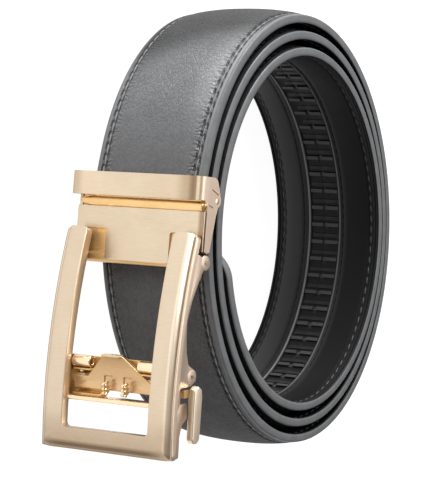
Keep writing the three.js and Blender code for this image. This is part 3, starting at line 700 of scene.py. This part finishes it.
def crossSection():
    half = strap["width"] / 2
    top = strap["edge"]
    inner = strap["lining"] + 0.3
    lip = half - 0.8
    front = [strap["crownTo"], 16.7, 16.4, 16.0, 15.7, 15.5, 15.3, 15.1, 14.9, 14.7, 14.5, 14.2, 13.8, 13.2,
             12.3, 11.2, 10, 8.5, 7, 5.5, 4, 2, 0]
    rows = [(lip, inner, "inside"), (lip, 0.08, "edge"), (lip + 0.08, 0, "edge"), (half - 0.2, 0, "edge"),
            (half, 0.2, "edge"), (half, 0.9, "edge"), (half, top - 0.55, "edge")]
    rows += [(half - 0.55 * (1 - math.cos(a)), top - 0.55 * (1 - math.sin(a)), "edge")
             for a in (0.4, 0.8, 1.2)]
    rows += [(z, None, "front") for z in front]
    mirrored = [(-z, h, kind) for z, h, kind in rows[-2::-1]]
    return rows + mirrored + [rows[0]]


liningLook = makeLiningLeather()


def buildCover():
    section = crossSection()
    across = np.array([row[0] for row in section])
    onFront = np.array([row[1] is None for row in section])
    fixed = np.array([0 if row[1] is None else row[1] for row in section])
    crownShare = 1 - np.minimum(np.abs(across) / strap["crownTo"], 1) ** 2.4
    fromSeam = np.abs(across) - strap["stitchAt"]
    # the seam draws the leather down most at each stitch hole
    pull = 0.75 + 0.25 * np.cos(2 * math.pi * path["length"] / strap["stitchPitch"])
    groove = pull[:, None] * (0.3 * np.exp(-(fromSeam / 0.75) ** 2))[None, :]
    height = np.where(onFront, strap["edge"] + path["crown"][:, None] * crownShare - groove, fixed)
    points = strapPoints(path, np.broadcast_to(across, height.shape), height)
    middle = len(section) // 2 - 1
    level = fixed + onFront * strap["edge"]
    run = np.concatenate([[0], np.cumsum(np.hypot(np.diff(across), np.diff(level)))])
    wide = np.where(onFront, across, np.sign(across) * np.abs(run - run[middle]))
    wide[-1] = run[-1] - run[middle]
    uv = np.stack(np.broadcast_arrays(path["length"][:, None], wide[None, :]), -1) / 1000
    piece = shapedSheet("strapCover", points, uv)
    for look in (makeCoverLeather(), makeEdgePaint(), liningLook, makeShadedLeather()):
        piece.data.materials.append(look)
    paintTo = abs(wide[4]) / 1000
    uvData = np.empty(len(piece.data.loops) * 2)
    piece.data.uv_layers["strapMap"].data.foreach_get("uv", uvData)
    uvData = uvData.reshape(-1, 2)
    for polygon in piece.data.polygons:
        u, v = np.abs(uvData[list(polygon.loop_indices)]).mean(axis=0)
        painted = v > (0.0168 if u < firstTurn else 0.0171) or len(polygon.vertices) > 6
        front = 0 if u < firstTurn else 3
        polygon.material_index = 2 if v > paintTo else 1 if painted else front
    return piece


cover = buildCover()
settle(cover, "strap", None, "leather_cover", "strap_cover", angle=50)
print("cover", len(cover.data.polygons))


# lining: a thin black backing with a raised border round the track's channel
def buildLining():
    halfLining = strap["width"] / 2 - 1.1
    thick = strap["lining"]
    channelFar = strap["trackShift"] - strap["trackHalf"] - 0.3
    channelNear = strap["trackShift"] + strap["trackHalf"] + 0.3
    farSide = [-16.4, -16.1, -15.6, -15.3, -15.1, -14.9, -14.7, -14.3, -13, -11, -9.6, -8.4, -8.1,
               strap["farRow"], -7.7, -7.4, -6.9, -6.45, -6.2, -6.0, -5.82, -5.72, channelFar]
    nearSide = [channelNear, 4.12, 4.25, 4.4, 4.6, 4.8, 5.1, 5.35, strap["nearRow"], 5.65, 5.9, 6.6, 8, 10,
                12, 13.6, 14.5, 14.8, 15.0, 15.2, 15.5, 16.1, 16.4]
    rows = farSide + [channelFar + 0.05, -0.8, channelNear - 0.05] + nearSide
    across = np.array(rows + [halfLining, -halfLining, rows[0]])
    outer = np.arange(len(across)) >= len(rows)
    outer[-1] = False
    keep = path["narrow"] > 0.9999
    place = {key: value[keep] for key, value in path.items()}
    inChannel = np.clip((place["angle"] - strap["trackFrom"]) / 2, 0, 1) * np.clip(
        (strap["trackTo"] - place["angle"]) / 2, 0, 1)
    # the border's edge runs in small scallops near the top of the coil
    ragged = 0.32 * np.clip((880 - place["angle"]) / 40, 0.12, 1) * inChannel
    scallop = ragged * np.abs(np.sin(place["length"] * math.pi / strap["toothPitch"])) ** 0.7
    nearBorder = np.exp(-((across + 5.8) / 0.45) ** 2)
    across = across[None, :] + scallop[:, None] * nearBorder[None, :]
    ridge = (0.3 * np.exp(-((across + 6.0 - scallop[:, None]) / 0.3) ** 2)
             + 0.22 * np.exp(-((across - 4.4) / 0.28) ** 2)) * inChannel[:, None]
    swell = 0.18 * (np.exp(-((across + 11) / 3.2) ** 2) + np.exp(-((across - 10) / 3.6) ** 2))
    inside = (across > channelFar + 0.04 + scallop[:, None]) & (across < channelNear - 0.04)
    dip = thick * inside * inChannel[:, None] * 0.94
    groove = 0.14 * np.exp(-((np.abs(across) - strap["stitchAt"]) / 0.3) ** 2)
    rowsAside = 0.12 * sum(np.exp(-((across - strap[row]) / 0.25) ** 2) for row in ("farRow", "nearRow"))
    face = 0.18 + dip - ridge - swell * (dip == 0) + groove + rowsAside
    height = np.where(outer[None, :], thick, np.minimum(face, thick * 0.94))
    points = strapPoints(place, across, height)
    uv = np.stack(np.broadcast_arrays(place["length"][:, None], across), -1) / 1000
    return shapedSheet("strapLining", points, uv)


lining = buildLining()
settle(lining, "strap", liningLook, "leather_lining", "strap_lining", angle=50)
print("lining", len(lining.data.polygons))


# ratchet track: bars in two columns with a low pad between one bar and the next
def buildTrack():
    pitch, wide = strap["toothPitch"], strap["trackHalf"] - 0.05
    start = np.interp(strap["trackFrom"] + 1, path["angle"], path["length"])
    end = np.interp(strap["trackTo"] - 2, path["angle"], path["length"])
    teeth = int((end - start) / pitch) - 1
    first = end - teeth * pitch
    # how far along a tooth, how high its top lies, how wide it is there and how deep its notch is
    pad = wide - 1.1
    profile = [(0.0, 0.1, wide, 0.64), (1.1, 0.1, wide, 0.64), (1.2, 0.54, wide, 0.66),
               (2.0, 0.56, wide, 0.66), (3.05, 0.54, wide, 0.56), (3.2, 0.36, pad, 0.38),
               (4.35, 0.32, pad, 0.34), (4.5, 0.56, wide, 0.58), (5.0, 0.56, wide, 0.6)]
    marks, rows = [], []
    side = wide + 0.02
    for tooth in range(teeth):
        for step, top, half, notch in profile:
            marks.append(first + tooth * pitch + step)
            shoulder = max(top, 0.5)
            rows.append([(-side, 0.69), (-side, shoulder), (-half, top), (-0.68, top), (-0.6, notch),
                         (0.6, notch), (0.68, top), (half, top), (side, shoulder), (side, 0.69),
                         (-side, 0.69)])
    place = onPath(np.array(marks))
    rows = np.array(rows)
    points = strapPoints(place, rows[..., 0] + strap["trackShift"], rows[..., 1])
    uv = np.stack([np.repeat(place["length"][:, None], rows.shape[1], 1), rows[..., 0]], -1) / 1000
    return shapedSheet("ratchetTrack", points, uv), float(first) / 1000


track, firstTooth = buildTrack()
settle(track, "strap", makeTrackPlastic(firstTooth), "track_plastic", "ratchet_track",
       angle=20)


# stitching: one stitch is modelled, then repeated along each seam, each a little turned out of line
def stitchRow(stitchLength, radius, height, lengths, name, material, lean=0.16):
    clearSelection()
    bpy.ops.mesh.primitive_uv_sphere_add(segments=8, ring_count=6, radius=1)
    model = bpy.context.object
    ball = np.array([vert.co[:] for vert in model.data.vertices])
    faces = [tuple(polygon.vertices) for polygon in model.data.polygons]
    bpy.data.objects.remove(model)
    points, polygons = [], []
    place = onPath(lengths)
    for side in (1, -1):
        for at, out, rise in zip(place["at"], place["out"], place["rise"]):
            across = np.array([0, 0, 1.0])
            ahead = np.array([out[1], -out[0], 0]) + across * lean * side
            outward = np.array([*out, 0])
            centre = np.array([*(at + out * (height - strap["edge"])), side * strap["stitchAt"] + rise])
            body = (ball[:, 2:3] * ahead * stitchLength / 2 + ball[:, 0:1] * outward * radius * 0.8
                    + ball[:, 1:2] * across * radius)
            polygons += [tuple(i + len(points) * len(ball) for i in face) for face in faces]
            points.append(centre + body)
    mesh = bpy.data.meshes.new(name)
    mesh.from_pydata(np.concatenate(points).tolist(), [], polygons)
    piece = bpy.data.objects.new(name, mesh)
    scene.collection.objects.link(piece)
    faceOutward(piece, 1e-6)
    return settle(piece, "strap", material, "leather_cover", angle=80)


visibleEnd = float(path["length"][path["narrow"] > 0.9999][-1]) - 1
halfStitch = strap["stitchPitch"] / 2
seamMarks = np.arange(2 * strap["stitchPitch"] + halfStitch, visibleEnd, strap["stitchPitch"])
onOutside = seamMarks < firstTurn * 1000
stitchRow(2.95, 0.28, strap["edge"] + 0.04, seamMarks[onOutside], "frontStitching",
          makeThread("frontThread", (0.12,) * 3, (0.21,) * 3), 0.07)
# the stitching of the inner turns is the same thread, painted darker for the shade between the turns
stitchRow(2.75, 0.36, strap["edge"] - 0.02, seamMarks[~onOutside], "hiddenStitching",
          makeThread("shadedThread", (0.03,) * 3, (0.1,) * 3))
stitchRow(2.2, 0.26, 0.22, seamMarks, "backStitching", makeThread("backThread", (0.02,) * 3, (0.045,) * 3))
print("stitching done")


# clamp
def roundOutline(points, radii, steps=5):
    result = []
    count = len(points)
    for k, (point, radius) in enumerate(zip(points, radii)):
        p = Vector(point)
        before = (Vector(points[k - 1]) - p)
        after = (Vector(points[(k + 1) % count]) - p)
        if radius <= 0:
            result.append(point)
            continue
        a, b = before.normalized(), after.normalized()
        corner = a.angle(b)
        reach = min(radius / math.tan(corner / 2), 0.48 * before.length, 0.48 * after.length)
        start, stop = p + a * reach, p + b * reach
        for s in range(steps + 1):
            t = s / steps
            result.append(tuple((1 - t) ** 2 * start + 2 * t * (1 - t) * p + t * t * stop))
    return result


def span(side, low, high):
    return (low, high) if side > 0 else (-high, -low)


def buildClamp():
    c = clamp
    half, front = c["halfWidth"], -c["plateFront"]
    back = front + c["plate"]
    outer = roundOutline(
        [(back, -half), (-c["barFront"], -half), (-c["barFront"], half), (back, half)],
        [0, c["barCorner"], c["barCorner"], 0], 8)
    inner = roundOutline(
        [(back, half - c["cheek"]), (c["barWall"] - c["barFront"], half - c["cheek"]),
         (c["barWall"] - c["barFront"], c["cheek"] - half), (back, c["cheek"] - half)],
        [0, 1.3, 1.3, 0], 6)
    keeper = pushOut(
        startOutline("keeper", [(-c["barTop"], y, z) for y, z in outer + inner]),
        (c["barTop"] - c["barBottom"], 0, 0))
    along, depth = c["rivetAlong"], c["rivetDepth"]
    behindPlate = front + c["notchDepth"] + 0.02
    cheek = roundOutline(
        [(-c["barTop"], -c["barFront"] + c["barCorner"]), (-c["barTop"], 1.4),
         (-c["barTop"] + 0.7, 2.6), (-c["barTop"] + 2.6, 3.5), (-along - 1.6, depth + 1.1),
         (-along - 0.6, depth + 1.5), (-along + 0.7, depth + 1.4), (-along + 1.7, depth + 0.4),
         (-c["plateTop"] + 1, 2.8), (-c["flangeEnd"], 1.1), (-c["flangeEnd"], behindPlate),
         (-c["barBottom"], behindPlate), (-c["barBottom"], -c["barFront"] + c["barCorner"])],
        [0, 0.8, 0.5, 0.5, 0.5, 0.5, 0.5, 0.5, 0.5, 0.3, 0.3, 0, 0], 3)
    cheeks = [sideShape("cheekNear", cheek, *span(1, half - c["cheek"], half)),
              sideShape("cheekFar", cheek, *span(-1, half - c["cheek"], half - c["farInset"]))]
    notch = c["notchDepth"]
    farEdge, nearEdge = c["farInset"] - half, half - 0.3
    plateOutline = roundOutline(
        [(-c["plateTop"], farEdge), (-c["plateTop"], nearEdge), (-c["flangeEnd"], nearEdge),
         (-c["flangeEnd"], c["notchTo"]), (-c["notchTop"], c["notchTo"]), (-c["notchTop"], c["notchFrom"]),
         (c["plateEnd"], c["notchFrom"]), (c["plateEnd"], -c["notchFrom"]),
         (-c["notchTop"], -c["notchFrom"]), (-c["notchTop"], -c["notchTo"]),
         (-c["flangeEnd"], -c["notchTo"]), (-c["flangeEnd"], farEdge)],
        [0.1, 0.1, 0.1, 0.2, 0.8, 0.8, 0.8, 0.8, 0.8, 0.8, 0.2, 0.3], 5)
    plate = frontShape("plate", plateOutline, front - 0.03, front + notch + 0.05)
    softenEdges(plate, 0.12)
    # the clamp's mesh is not quite the same each run: its order and a vertex or two differ, rarely two
    # faces as well. This union of coplanar faces is the probable cause, which was not confirmed
    combine(keeper, cheeks, "UNION")
    softenEdges(keeper, 0.34, 4)
    slits = [
        sideShape("slit", [(x - along, y) for x, y in corners], half - deep, half + 1)
        for deep, corners in (
            (0.35, [(-3.1, 0.4), (-2.75, 0.25), (-1.5, 3.3), (-1.85, 3.45)]),
            (0.3, [(1.1, -0.6), (1.35, -0.8), (1.9, 1.1), (1.65, 1.25)]))
    ]
    combine(keeper, slits, "DIFFERENCE")
    return gather("beltClamp", [keeper, plate])


# what shows in the clamp's openings is polished: the round liner of the slot and the floor of the notches,
# painted a deeper orange gold for the shade and the reflections of gold inside them
def buildClampInside():
    c = clamp
    half, front = c["halfWidth"], -c["plateFront"]
    back = front + c["plate"]
    betweenLugs = half - 2.0 - 0.6
    inner = half - c["cheek"] - 0.05
    top, floorFront = 0.1 - c["plateTop"], front + c["notchDepth"]
    floorPart = bar("notchFloor", (top, -0.5), (floorFront, back), (-betweenLugs, betweenLugs))
    sideFill = bar("sideFill", (top, -c["flangeEnd"] - 0.4), (floorFront + 0.02, back), (-inner, inner))
    slotFloor = bar("slotFloor", (1.7 - c["barTop"], 0.5 - c["plateTop"]), (front + c["slotStep"], back),
                    (0.3 - inner, inner - 0.3))
    barrel = rod("barrel", 0, 0, c["barrelRadius"], -betweenLugs, betweenLugs)
    softenEdges(barrel, 0.3)
    return gather("clampInside", [floorPart, sideFill, slotFloor, barrel])


def buildSlotLiner():
    c = clamp
    low, high = c["cheek"] + 0.1 - c["halfWidth"], c["halfWidth"] - 0.5
    tall = (c["barBottom"] - c["plateTop"]) / 2 + 0.15
    # widths along the liner: it tapers to the far side and ends in a round nose at the near one
    nose = 1.3
    stops = [(low, 0.6), (low + 2.5, 0.9)] + [(z, 1.0) for z in np.linspace(low + 4.2, high - nose, 12)]
    stops += [(high - nose + nose * math.sin(a), max(math.cos(a), 0.12))
              for a in np.linspace(0.2, math.pi / 2, 7)]
    ring = np.linspace(0, 2 * math.pi, 25)
    middle = -(c["barBottom"] + c["plateTop"]) / 2
    depth = 0.5 - c["plateFront"]
    points = np.array([[(middle + tall * w * math.cos(a), depth - 0.85 * w * math.sin(a), z) for a in ring]
                       for z, w in stops])
    return shapedSheet("slotLiner", points, np.zeros(points.shape[:2] + (2,)))


clampPiece = buildClamp()
settle(clampPiece, "strap", clampGold, "plated_metal", "clamp_body", place=clampPlace)
# the clamp's sides take the side gold, painted darker and pinker for the light on them
paintAcross(clampPiece, sideGold, 0.9)
settle(buildClampInside(), "strap", notchGold, "plated_metal", place=clampPlace)
settle(buildSlotLiner(), "strap", slotGold, "plated_metal", place=clampPlace)


def buildRivets():
    c = clamp
    heads = []
    for side, label in ((1, "Near"), (-1, "Far")):
        head = rod("rivet" + label, -c["rivetAlong"], c["rivetDepth"], c["rivetRadius"],
                   *span(side, c["halfWidth"] - 2, c["halfWidth"] + 0.02))
        softenEdges(head, 0.25, 4)
        heads.append(head)
    return gather("clampRivets", heads)


settle(buildRivets(), "strap", polishedGold, "plated_metal", place=clampPlace)
frame["nodes"]["clamp_jaw"].data.materials.clear()
frame["nodes"]["clamp_jaw"].data.materials.append(polishedGold)
print("clamp done")


# frame: its leg section is swept down one leg, across the bottom and up the other
buckle = {
    "top": (-6.7, -55.2), "bottom": (50.6, -69.4), "bow": 2.5, "leg": 7.3,
    "bottomBar": 6.0, "wall": 2.0,
    "cornerInside": 1.2, "cornerOutside": 1.3,
}
mechanism = {
    "pawl": (30.2, -58.5), "pinRadius": 0.85, "barrelRadius": 1.5, "armWidth": 3.4, "front": 5.1,
    "sheet": 0.8, "bandFrom": 1.4, "bandTo": 4.8, "tabRise": 4.6, "tabFrom": -3.5, "tabTo": 2.5,
    "footFrom": -8.8, "footTo": 12.5, "lip": 1.0, "armFrom": 3.0, "armTo": 4.9, "play": 0.7,
    "knuckleX": 28.0, "knuckleDepth": 4.2, "knuckleRadius": 1.5, "knuckleLength": 5.8,
    "railX": 36.5, "railHeight": 1.2, "railWidth": 3.3, "railFront": 8.4, "wallDepth": 2.6,
    "wallSheet": 0.7, "wallTop": 26.8, "wallBottom": 30.9, "blockTo": -5.2, "lever": 2.0,
    "springRadius": 1.15, "springWire": 0.42, "springCoils": 3, "springTop": 1.8,
    "springs": (-2.0, 4.3), "postWidth": 5.3, "backSheetTop": 33.6,
}


def frameArc(share, depth):
    top, bottom = Vector(buckle["top"]), Vector(buckle["bottom"])
    chord = bottom - top
    bow = buckle["bow"]
    radius = (chord.length_squared / 4 + bow ** 2) / (2 * bow)
    forward = Vector((chord.y, -chord.x)).normalized()
    centre = (top + bottom) / 2 + forward * (bow - radius)
    turn = math.asin(chord.length / 2 / radius) * (2 * share - 1)
    return (centre + forward * (radius - depth) * math.cos(turn)
            + chord.normalized() * (radius - depth) * math.sin(turn))


def buildFrame():
    b = buckle
    half = clamp["halfWidth"]
    length = (Vector(b["bottom"]) - Vector(b["top"])).length
    # across is 0 at the outer edge and 1 at the inner one; depth counts back from the front
    section = [(0.0, 2.8), (0.0, 1.5), (0.005, 1.15), (0.02, 0.99), (0.045, 0.94), (0.06, 0.97),
               (0.07, 0.9), (0.085, 0.68), (0.105, 0.54), (0.14, 0.37), (0.18, 0.22), (0.22, 0.1),
               (0.26, 0.03), (0.31, 0.0), (0.45, 0.0), (0.6, 0.0), (0.8, 0.0), (0.93, 0.0), (0.965, 0.03),
               (0.99, 0.12), (1.0, 0.3), (1.0, 1.6), (1.0, 2.5), (0.97, 2.8), (0.5, 2.8), (0.0, 2.8)]
    rows, turns = [], []
    outerBottom = length
    innerBottom = length - b["bottomBar"]
    innerHalf = half - b["leg"]
    cornerOut, cornerIn = b["cornerOutside"] * 0.6, b["cornerInside"]

    def ringAt(outer, inner, drop):
        ring = []
        for across, depth in section:
            u = outer[0] + (inner[0] - outer[0]) * across
            z = outer[1] + (inner[1] - outer[1]) * across
            scaled = depth * drop if depth < 1.51 else depth
            ring.append((u, z, scaled))
        return ring

    downStops = [0.0, 0.25, 0.6, 1.1] + list(np.linspace(2.0, innerBottom - cornerIn, 34))
    turns += [0.0] * len(downStops)
    for u in downStops:
        pull = max(0.0, 1 - u / b["cornerOutside"])
        inset = b["cornerOutside"] * (1 - math.sqrt(max(0.0, 1 - pull ** 2))) if pull > 0 else 0
        rows.append(ringAt((u, half - inset), (u, innerHalf + inset), 1.0))
    for k in range(1, 8):
        a = math.pi / 2 * k / 7
        inner = (innerBottom - cornerIn + cornerIn * math.sin(a),
                 innerHalf - cornerIn + cornerIn * math.cos(a))
        if k <= 3:
            straight = (outerBottom - cornerOut - innerBottom + cornerIn) * (k / 3.5)
            outer = (innerBottom - cornerIn + straight, half)
        elif k == 4:
            outer = (outerBottom - cornerOut * 0.3, half - cornerOut * 0.3)
            rows.append(ringAt((outerBottom - cornerOut, half), inner, 1.05))
            turns.append(0.2)
        else:
            across = half - innerHalf + cornerIn - cornerOut
            outer = (outerBottom, half - cornerOut - across * ((k - 4.5) / 2.5))
        rows.append(ringAt(outer, inner, 1.0 + 0.33 * k / 7))
        turns.append(0.0 if k <= 3 else 0.25 + 0.25 * (k - 4) / 3)
    for z in np.linspace(innerHalf - cornerIn, 0, 8)[1:]:
        rows.append(ringAt((outerBottom, z), (innerBottom, z), 1.33))
        turns.append(0.5)
    mirrored = [[(u, -z, depth) for u, z, depth in ring] for ring in rows[-2::-1]]
    rows = rows + mirrored
    turns = np.array(turns + [1 - turn for turn in turns[-2::-1]])
    points = np.array([
        [(*frameArc(u / length, depth), z) for u, z, depth in ring] for ring in rows
    ])
    acrossShare = np.array([share if depth < 1.51 else 0.9 for share, depth in section])
    acrossShare[:2] = acrossShare[-1] = 0.0
    uv = np.stack(np.broadcast_arrays(acrossShare[None, :], turns[:, None]), -1)
    return shapedSheet("buckleFrame", points, uv)


def wallOutline():
    m, x, y = mechanism, *mechanism["pawl"]
    hx, hy = clamp["hinge"]
    front = [tuple(frameArc(0.1 + 0.895 * step / 16, 1.15)) for step in range(17)]
    slotTop, slotBottom = x + m["armFrom"] - m["play"], x + m["armTo"] + 2 * m["play"]
    rear = [(50.2, -65.3), (44.8, -64.6), (41.9, -63.4), (40.6, -61.2), (slotBottom + 0.5, -60.8),
            (slotBottom, -61.6), (slotBottom, -63.9), (slotTop, -63.7), (slotTop, -59.0),
            (x + 1.3, y + 1.7), (x - 1.3, y + 1.6), (27.0, -59.9), (23.5, -60.5), (19.5, -60.4),
            (15.6, -59.9), (10.6, -57.5), (7.1, -55.1), (hx + 1.6, hy - 0.9), (hx, hy + 1.6),
            (hx - 1.4, hy - 1.0), (-1.2, -54.6)]
    radii = [0] * len(front) + [0.6, 2, 2, 0.8] + [0.2] * 5 + [0.3, 0.8] + [2] * 5 + [1, 0.3, 0.5, 0.5, 2]
    return roundOutline(front + rear, radii, 3)


def finishFrame():
    half, wall = clamp["halfWidth"], buckle["wall"]
    face = buildFrame()
    parts = [face]
    for side, label in ((1, "Near"), (-1, "Far")):
        across = span(side, half - wall, half - 0.04)
        sideWall = sideShape("sideWall" + label, wallOutline(), *across)
        softenEdges(sideWall, 0.22)
        ends = span(side, half - wall, half)
        rounds = [rod("lug" + label, *clamp["hinge"], clamp["lugRadius"], *ends),
                  rod("pawlLug" + label, *mechanism["pawl"], clamp["lugRadius"], *ends),
                  bar("post" + label, (45.6, 50.0), (-67.6, -65.6),
                      span(side, half - buckle["leg"], half - 1))]
        for part in rounds:
            softenEdges(part, 0.25)
        parts += [sideWall, *rounds]
    return gather("buckleFrame", parts)


framePiece = finishFrame()
settle(framePiece, "frame", frameGold, "plated_metal", "buckle_frame")
# the frame's sides take the side gold, painted darker and pinker for the light on them, and the legs' faces
# over the window take the window gold, painted yellower to lighten the shade there
paintAcross(framePiece, sideGold, 0.9)
paintAcross(framePiece, windowGold, 0.7, inward=True)


def buildPins():
    half = clamp["halfWidth"]
    pins = []
    for name, centre, radius in (("hingePin", clamp["hinge"], clamp["pinRadius"]),
                                 ("pawlPin", mechanism["pawl"], mechanism["pinRadius"])):
        pin = rod(name, *centre, radius, 0.1 - half, half)
        softenEdges(pin, 0.3, 4)
        pins.append(pin)
    return pins


hingePin, pawlPin = buildPins()
settle(hingePin, "strap", polishedGold, "plated_metal", "hinge_pin")
settle(pawlPin, "frame", polishedGold, "plated_metal", "pawl_pin")


def buildCrossbar():
    m = mechanism
    x, y = m["pawl"]
    inner = clamp["halfWidth"] - buckle["leg"] - 0.3
    outer = clamp["halfWidth"] - buckle["wall"] - 0.3
    front = y - m["wallDepth"]
    back = front + m["wallSheet"]
    railFront = y - m["railFront"]
    blockTop = x + m["bandTo"] + 1.2
    bottom = m["railX"] + m["railHeight"]
    rail = bar("rail", (m["railX"], bottom), (railFront, railFront + m["railWidth"]), (-inner, inner))
    softenEdges(rail, 0.4, 4)
    recess = [
        bar("block", (blockTop, bottom), (railFront + m["railWidth"] - 0.6, back), (-inner, m["blockTo"])),
        bar("foot", (m["backSheetTop"], bottom), (front, back), (-outer, m["blockTo"])),
        bar("post", (m["wallTop"], bottom), (front, back), (-outer, m["postWidth"] - outer)),
        bar("sheet", (m["wallTop"], m["wallBottom"]), (front, back), (-outer, outer)),
    ]
    knuckles = []
    for side, label in ((1, "Near"), (-1, "Far")):
        across = span(side, inner - m["knuckleLength"], inner)
        knuckle = rod("knuckle" + label, m["knuckleX"], y - m["knuckleDepth"], m["knuckleRadius"], *across)
        drill = rod("drill" + label, m["knuckleX"], y - m["knuckleDepth"], 0.75,
                    *span(side, inner - m["knuckleLength"] - 1, inner - m["knuckleLength"] + 2))
        combine(knuckle, [drill], "DIFFERENCE")
        softenEdges(knuckle, 0.2)
        knuckles.append(knuckle)
        recess.append(bar("web" + label, (m["wallTop"] + 0.2, m["knuckleX"] + 1),
                          (y - m["knuckleDepth"] + 0.5, front + 0.2), across))
        recess.append(bar("ledge" + label, (m["knuckleX"] + 1.75, m["knuckleX"] + 2.2),
                          (y - m["knuckleDepth"] - 0.9, front + 0.2), across))
    for part in recess:
        softenEdges(part, 0.14)
    return gather("pawlSupport", [rail, *knuckles]), gather("pawlRecess", recess)


support, recess = buildCrossbar()
settle(support, "frame", polishedGold, "plated_metal", "crossbar")
settle(recess, "frame", deepGold, "plated_metal")


def buildPawl():
    m = mechanism
    x, y = m["pawl"]
    front = y - m["front"]
    back = front + m["sheet"]
    half = clamp["halfWidth"] - buckle["leg"] - 0.6
    top, foot = x - m["tabRise"], x + m["bandFrom"]
    outline = roundOutline(
        [(x + m["bandTo"], -half), (x + m["bandTo"], half), (foot + 1.2, half), (foot + 1.2, m["footTo"]),
         (top, m["tabTo"]), (top, m["tabFrom"]), (foot, m["footFrom"]), (foot, -half)],
        [0.3, 0.3, 0.3, 0.3, 0.5, 0.5, 0.4, 0.3], 4)
    sheet = frontShape("pawlSheet", outline, front, back)
    windows = [bar("window", (x + m["springTop"] - 0.9, x + m["bandTo"] + 1), (front - 1, front + 0.5),
                   (z - 1.3, z + 1.3)) for z in m["springs"]]
    combine(sheet, windows, "DIFFERENCE")
    softenEdges(sheet, 0.26)
    lip = bar("lip", (top - 0.3, top + 0.5), (front - m["lip"], back), (m["tabFrom"], m["tabTo"]))
    softenEdges(lip, 0.25, 4)
    # the tab's near side is folded back
    down, over = foot + 1.0 - top, m["footTo"] - m["tabTo"]
    long = math.hypot(down, over)
    inset = (0.7 * over / long, -0.7 * down / long)
    edge = [(top + 0.35, m["tabTo"]), (foot + 1.0, m["footTo"] - 0.4)]
    fold = frontShape("pawlFold", edge + [(p[0] + inset[0], p[1] + inset[1]) for p in edge[::-1]],
                      front + 0.2, front + 1.6)
    softenEdges(fold, 0.12)
    parts = [sheet, lip, fold]
    for side, label in ((1, "Near"), (-1, "Far")):
        ends = span(side, half - m["armWidth"], half)
        barrel = rod("pawlBarrel" + label, x, y, m["barrelRadius"], *ends)
        softenEdges(barrel, 0.2)
        web = bar("pawlWeb" + label, (m["wallBottom"] + 0.3, foot + 1.0), (back - 0.4, y), ends)
        parts += [barrel, web]
    arm = (x + m["armFrom"], x + m["armTo"])
    parts += [bar("armRoot", arm, (back - 0.4, y - 2.0), (half - 2, half)),
              bar("arm", arm, (y - 4.0, y - 2.0), (half - 1, clamp["halfWidth"] + 0.3))]
    return gather("pawlPlate", parts)


settle(buildPawl(), "pawl", tabGold, "plated_metal", "pawl_plate")


def buildSprings():
    m = mechanism
    x, y = m["pawl"]
    low, high = x + m["springTop"], m["railX"] - 0.3
    springs = []
    wire, coils, steps = m["springWire"], m["springCoils"], 24
    radius = m["springRadius"] - wire
    centre = y - m["front"] - 0.3 - m["springRadius"]
    for z, label in zip(m["springs"], ("far", "near")):
        turns = [2 * math.pi * k / steps for k in range(coils * steps + 1)]
        path3d = [
            (low + wire + (high - low - 2 * wire) * k / (coils * steps),
             centre + radius * math.cos(turn), z + radius * math.sin(turn))
            for k, turn in enumerate(turns)
        ]
        curve = bpy.data.curves.new("spring", "CURVE")
        curve.dimensions = "3D"
        spline = curve.splines.new("POLY")
        spline.points.add(len(path3d) - 1)
        for point, place in zip(spline.points, path3d):
            point.co = (*place, 1)
        curve.bevel_depth = wire
        curve.bevel_resolution = 2
        curve.use_fill_caps = True
        piece = bpy.data.objects.new("pawlSpring" + label.capitalize(), curve)
        scene.collection.objects.link(piece)
        pick(piece)
        bpy.ops.object.convert(target="MESH")
        piece = bpy.context.object
        faceOutward(piece)
        springs.append((piece, "pawl_spring_" + label))
    return springs


for spring, node in buildSprings():
    settle(spring, "frame", polishedGold, "plated_metal", node)


def buildLever():
    x, y = mechanism["pawl"]
    outline = roundOutline(
        [(x + down, y + back) for down, back in (
            (2.0, -0.4), (3.2, 1.0), (5.3, 1.1), (16.0, -0.7), (17.0, -1.9), (16.7, -3.5), (15.6, -4.1),
            (5.8, -2.7), (2.8, -2.2))],
        [0.8, 0.8, 0.8, 1.2, 1.0, 0.8, 1.2, 1.0, 0.8], 4)
    low = clamp["halfWidth"] + 0.5
    lever = sideShape("releaseLever", outline, low, low + mechanism["lever"])
    softenEdges(lever, 0.45, 5, 50)
    return lever


settle(buildLever(), "pawl", leverGold, "plated_metal", "release_lever")
print("buckle done")


# floor and light
studio = {
    "world": 0.3,
    "lights": [
        ("keyLight", (-0.95, 0.12, 0.32), 0.9, 0.4, 13.0),
        ("fillLight", (-0.6, -0.75, 0.35), 1.1, 0.5, 5.0),
        ("topLight", (-0.2, 0.5, 1.0), 1.1, 0.9, 7.0),
    ],
}


def buildStudio():
    clearSelection()
    bpy.ops.mesh.primitive_plane_add(size=6, location=(0, 0, 0))
    floor = bpy.context.object
    floor.name = "floor"
    material, tree, shader = newMaterial("paleFloor", Roughness=0.85)
    cloud = noise(tree, addNode(tree, "ShaderNodeTexCoord").outputs["Object"], 3.0)
    feed(tree, shader, "Base Color", ramp(tree, cloud, (0.3, 0.2), (0.7, 0.22)))
    feed(tree, shader, "Emission Color", ramp(tree, cloud, (0.3, 0.94), (0.7, 0.96)))
    shader.inputs["Emission Strength"].default_value = 1.0
    floor.data.materials.append(material)
    world = bpy.data.worlds.new("studio")
    world.use_nodes = True
    world.node_tree.nodes["Background"].inputs["Color"].default_value = (1, 1, 1, 1)
    world.node_tree.nodes["Background"].inputs["Strength"].default_value = studio["world"]
    scene.world = world
    for name, direction, distance, size, power in studio["lights"]:
        data = bpy.data.lights.new(name, "AREA")
        data.shape = "SQUARE"
        data.size = size
        data.energy = power
        light = bpy.data.objects.new(name, data)
        scene.collection.objects.link(light)
        way = Vector(direction).normalized()
        light.location = way * distance + Vector((0, 0, 0.02))
        light.rotation_euler = way.to_track_quat("Z", "Y").to_euler()


buildStudio()

print("scene ready")
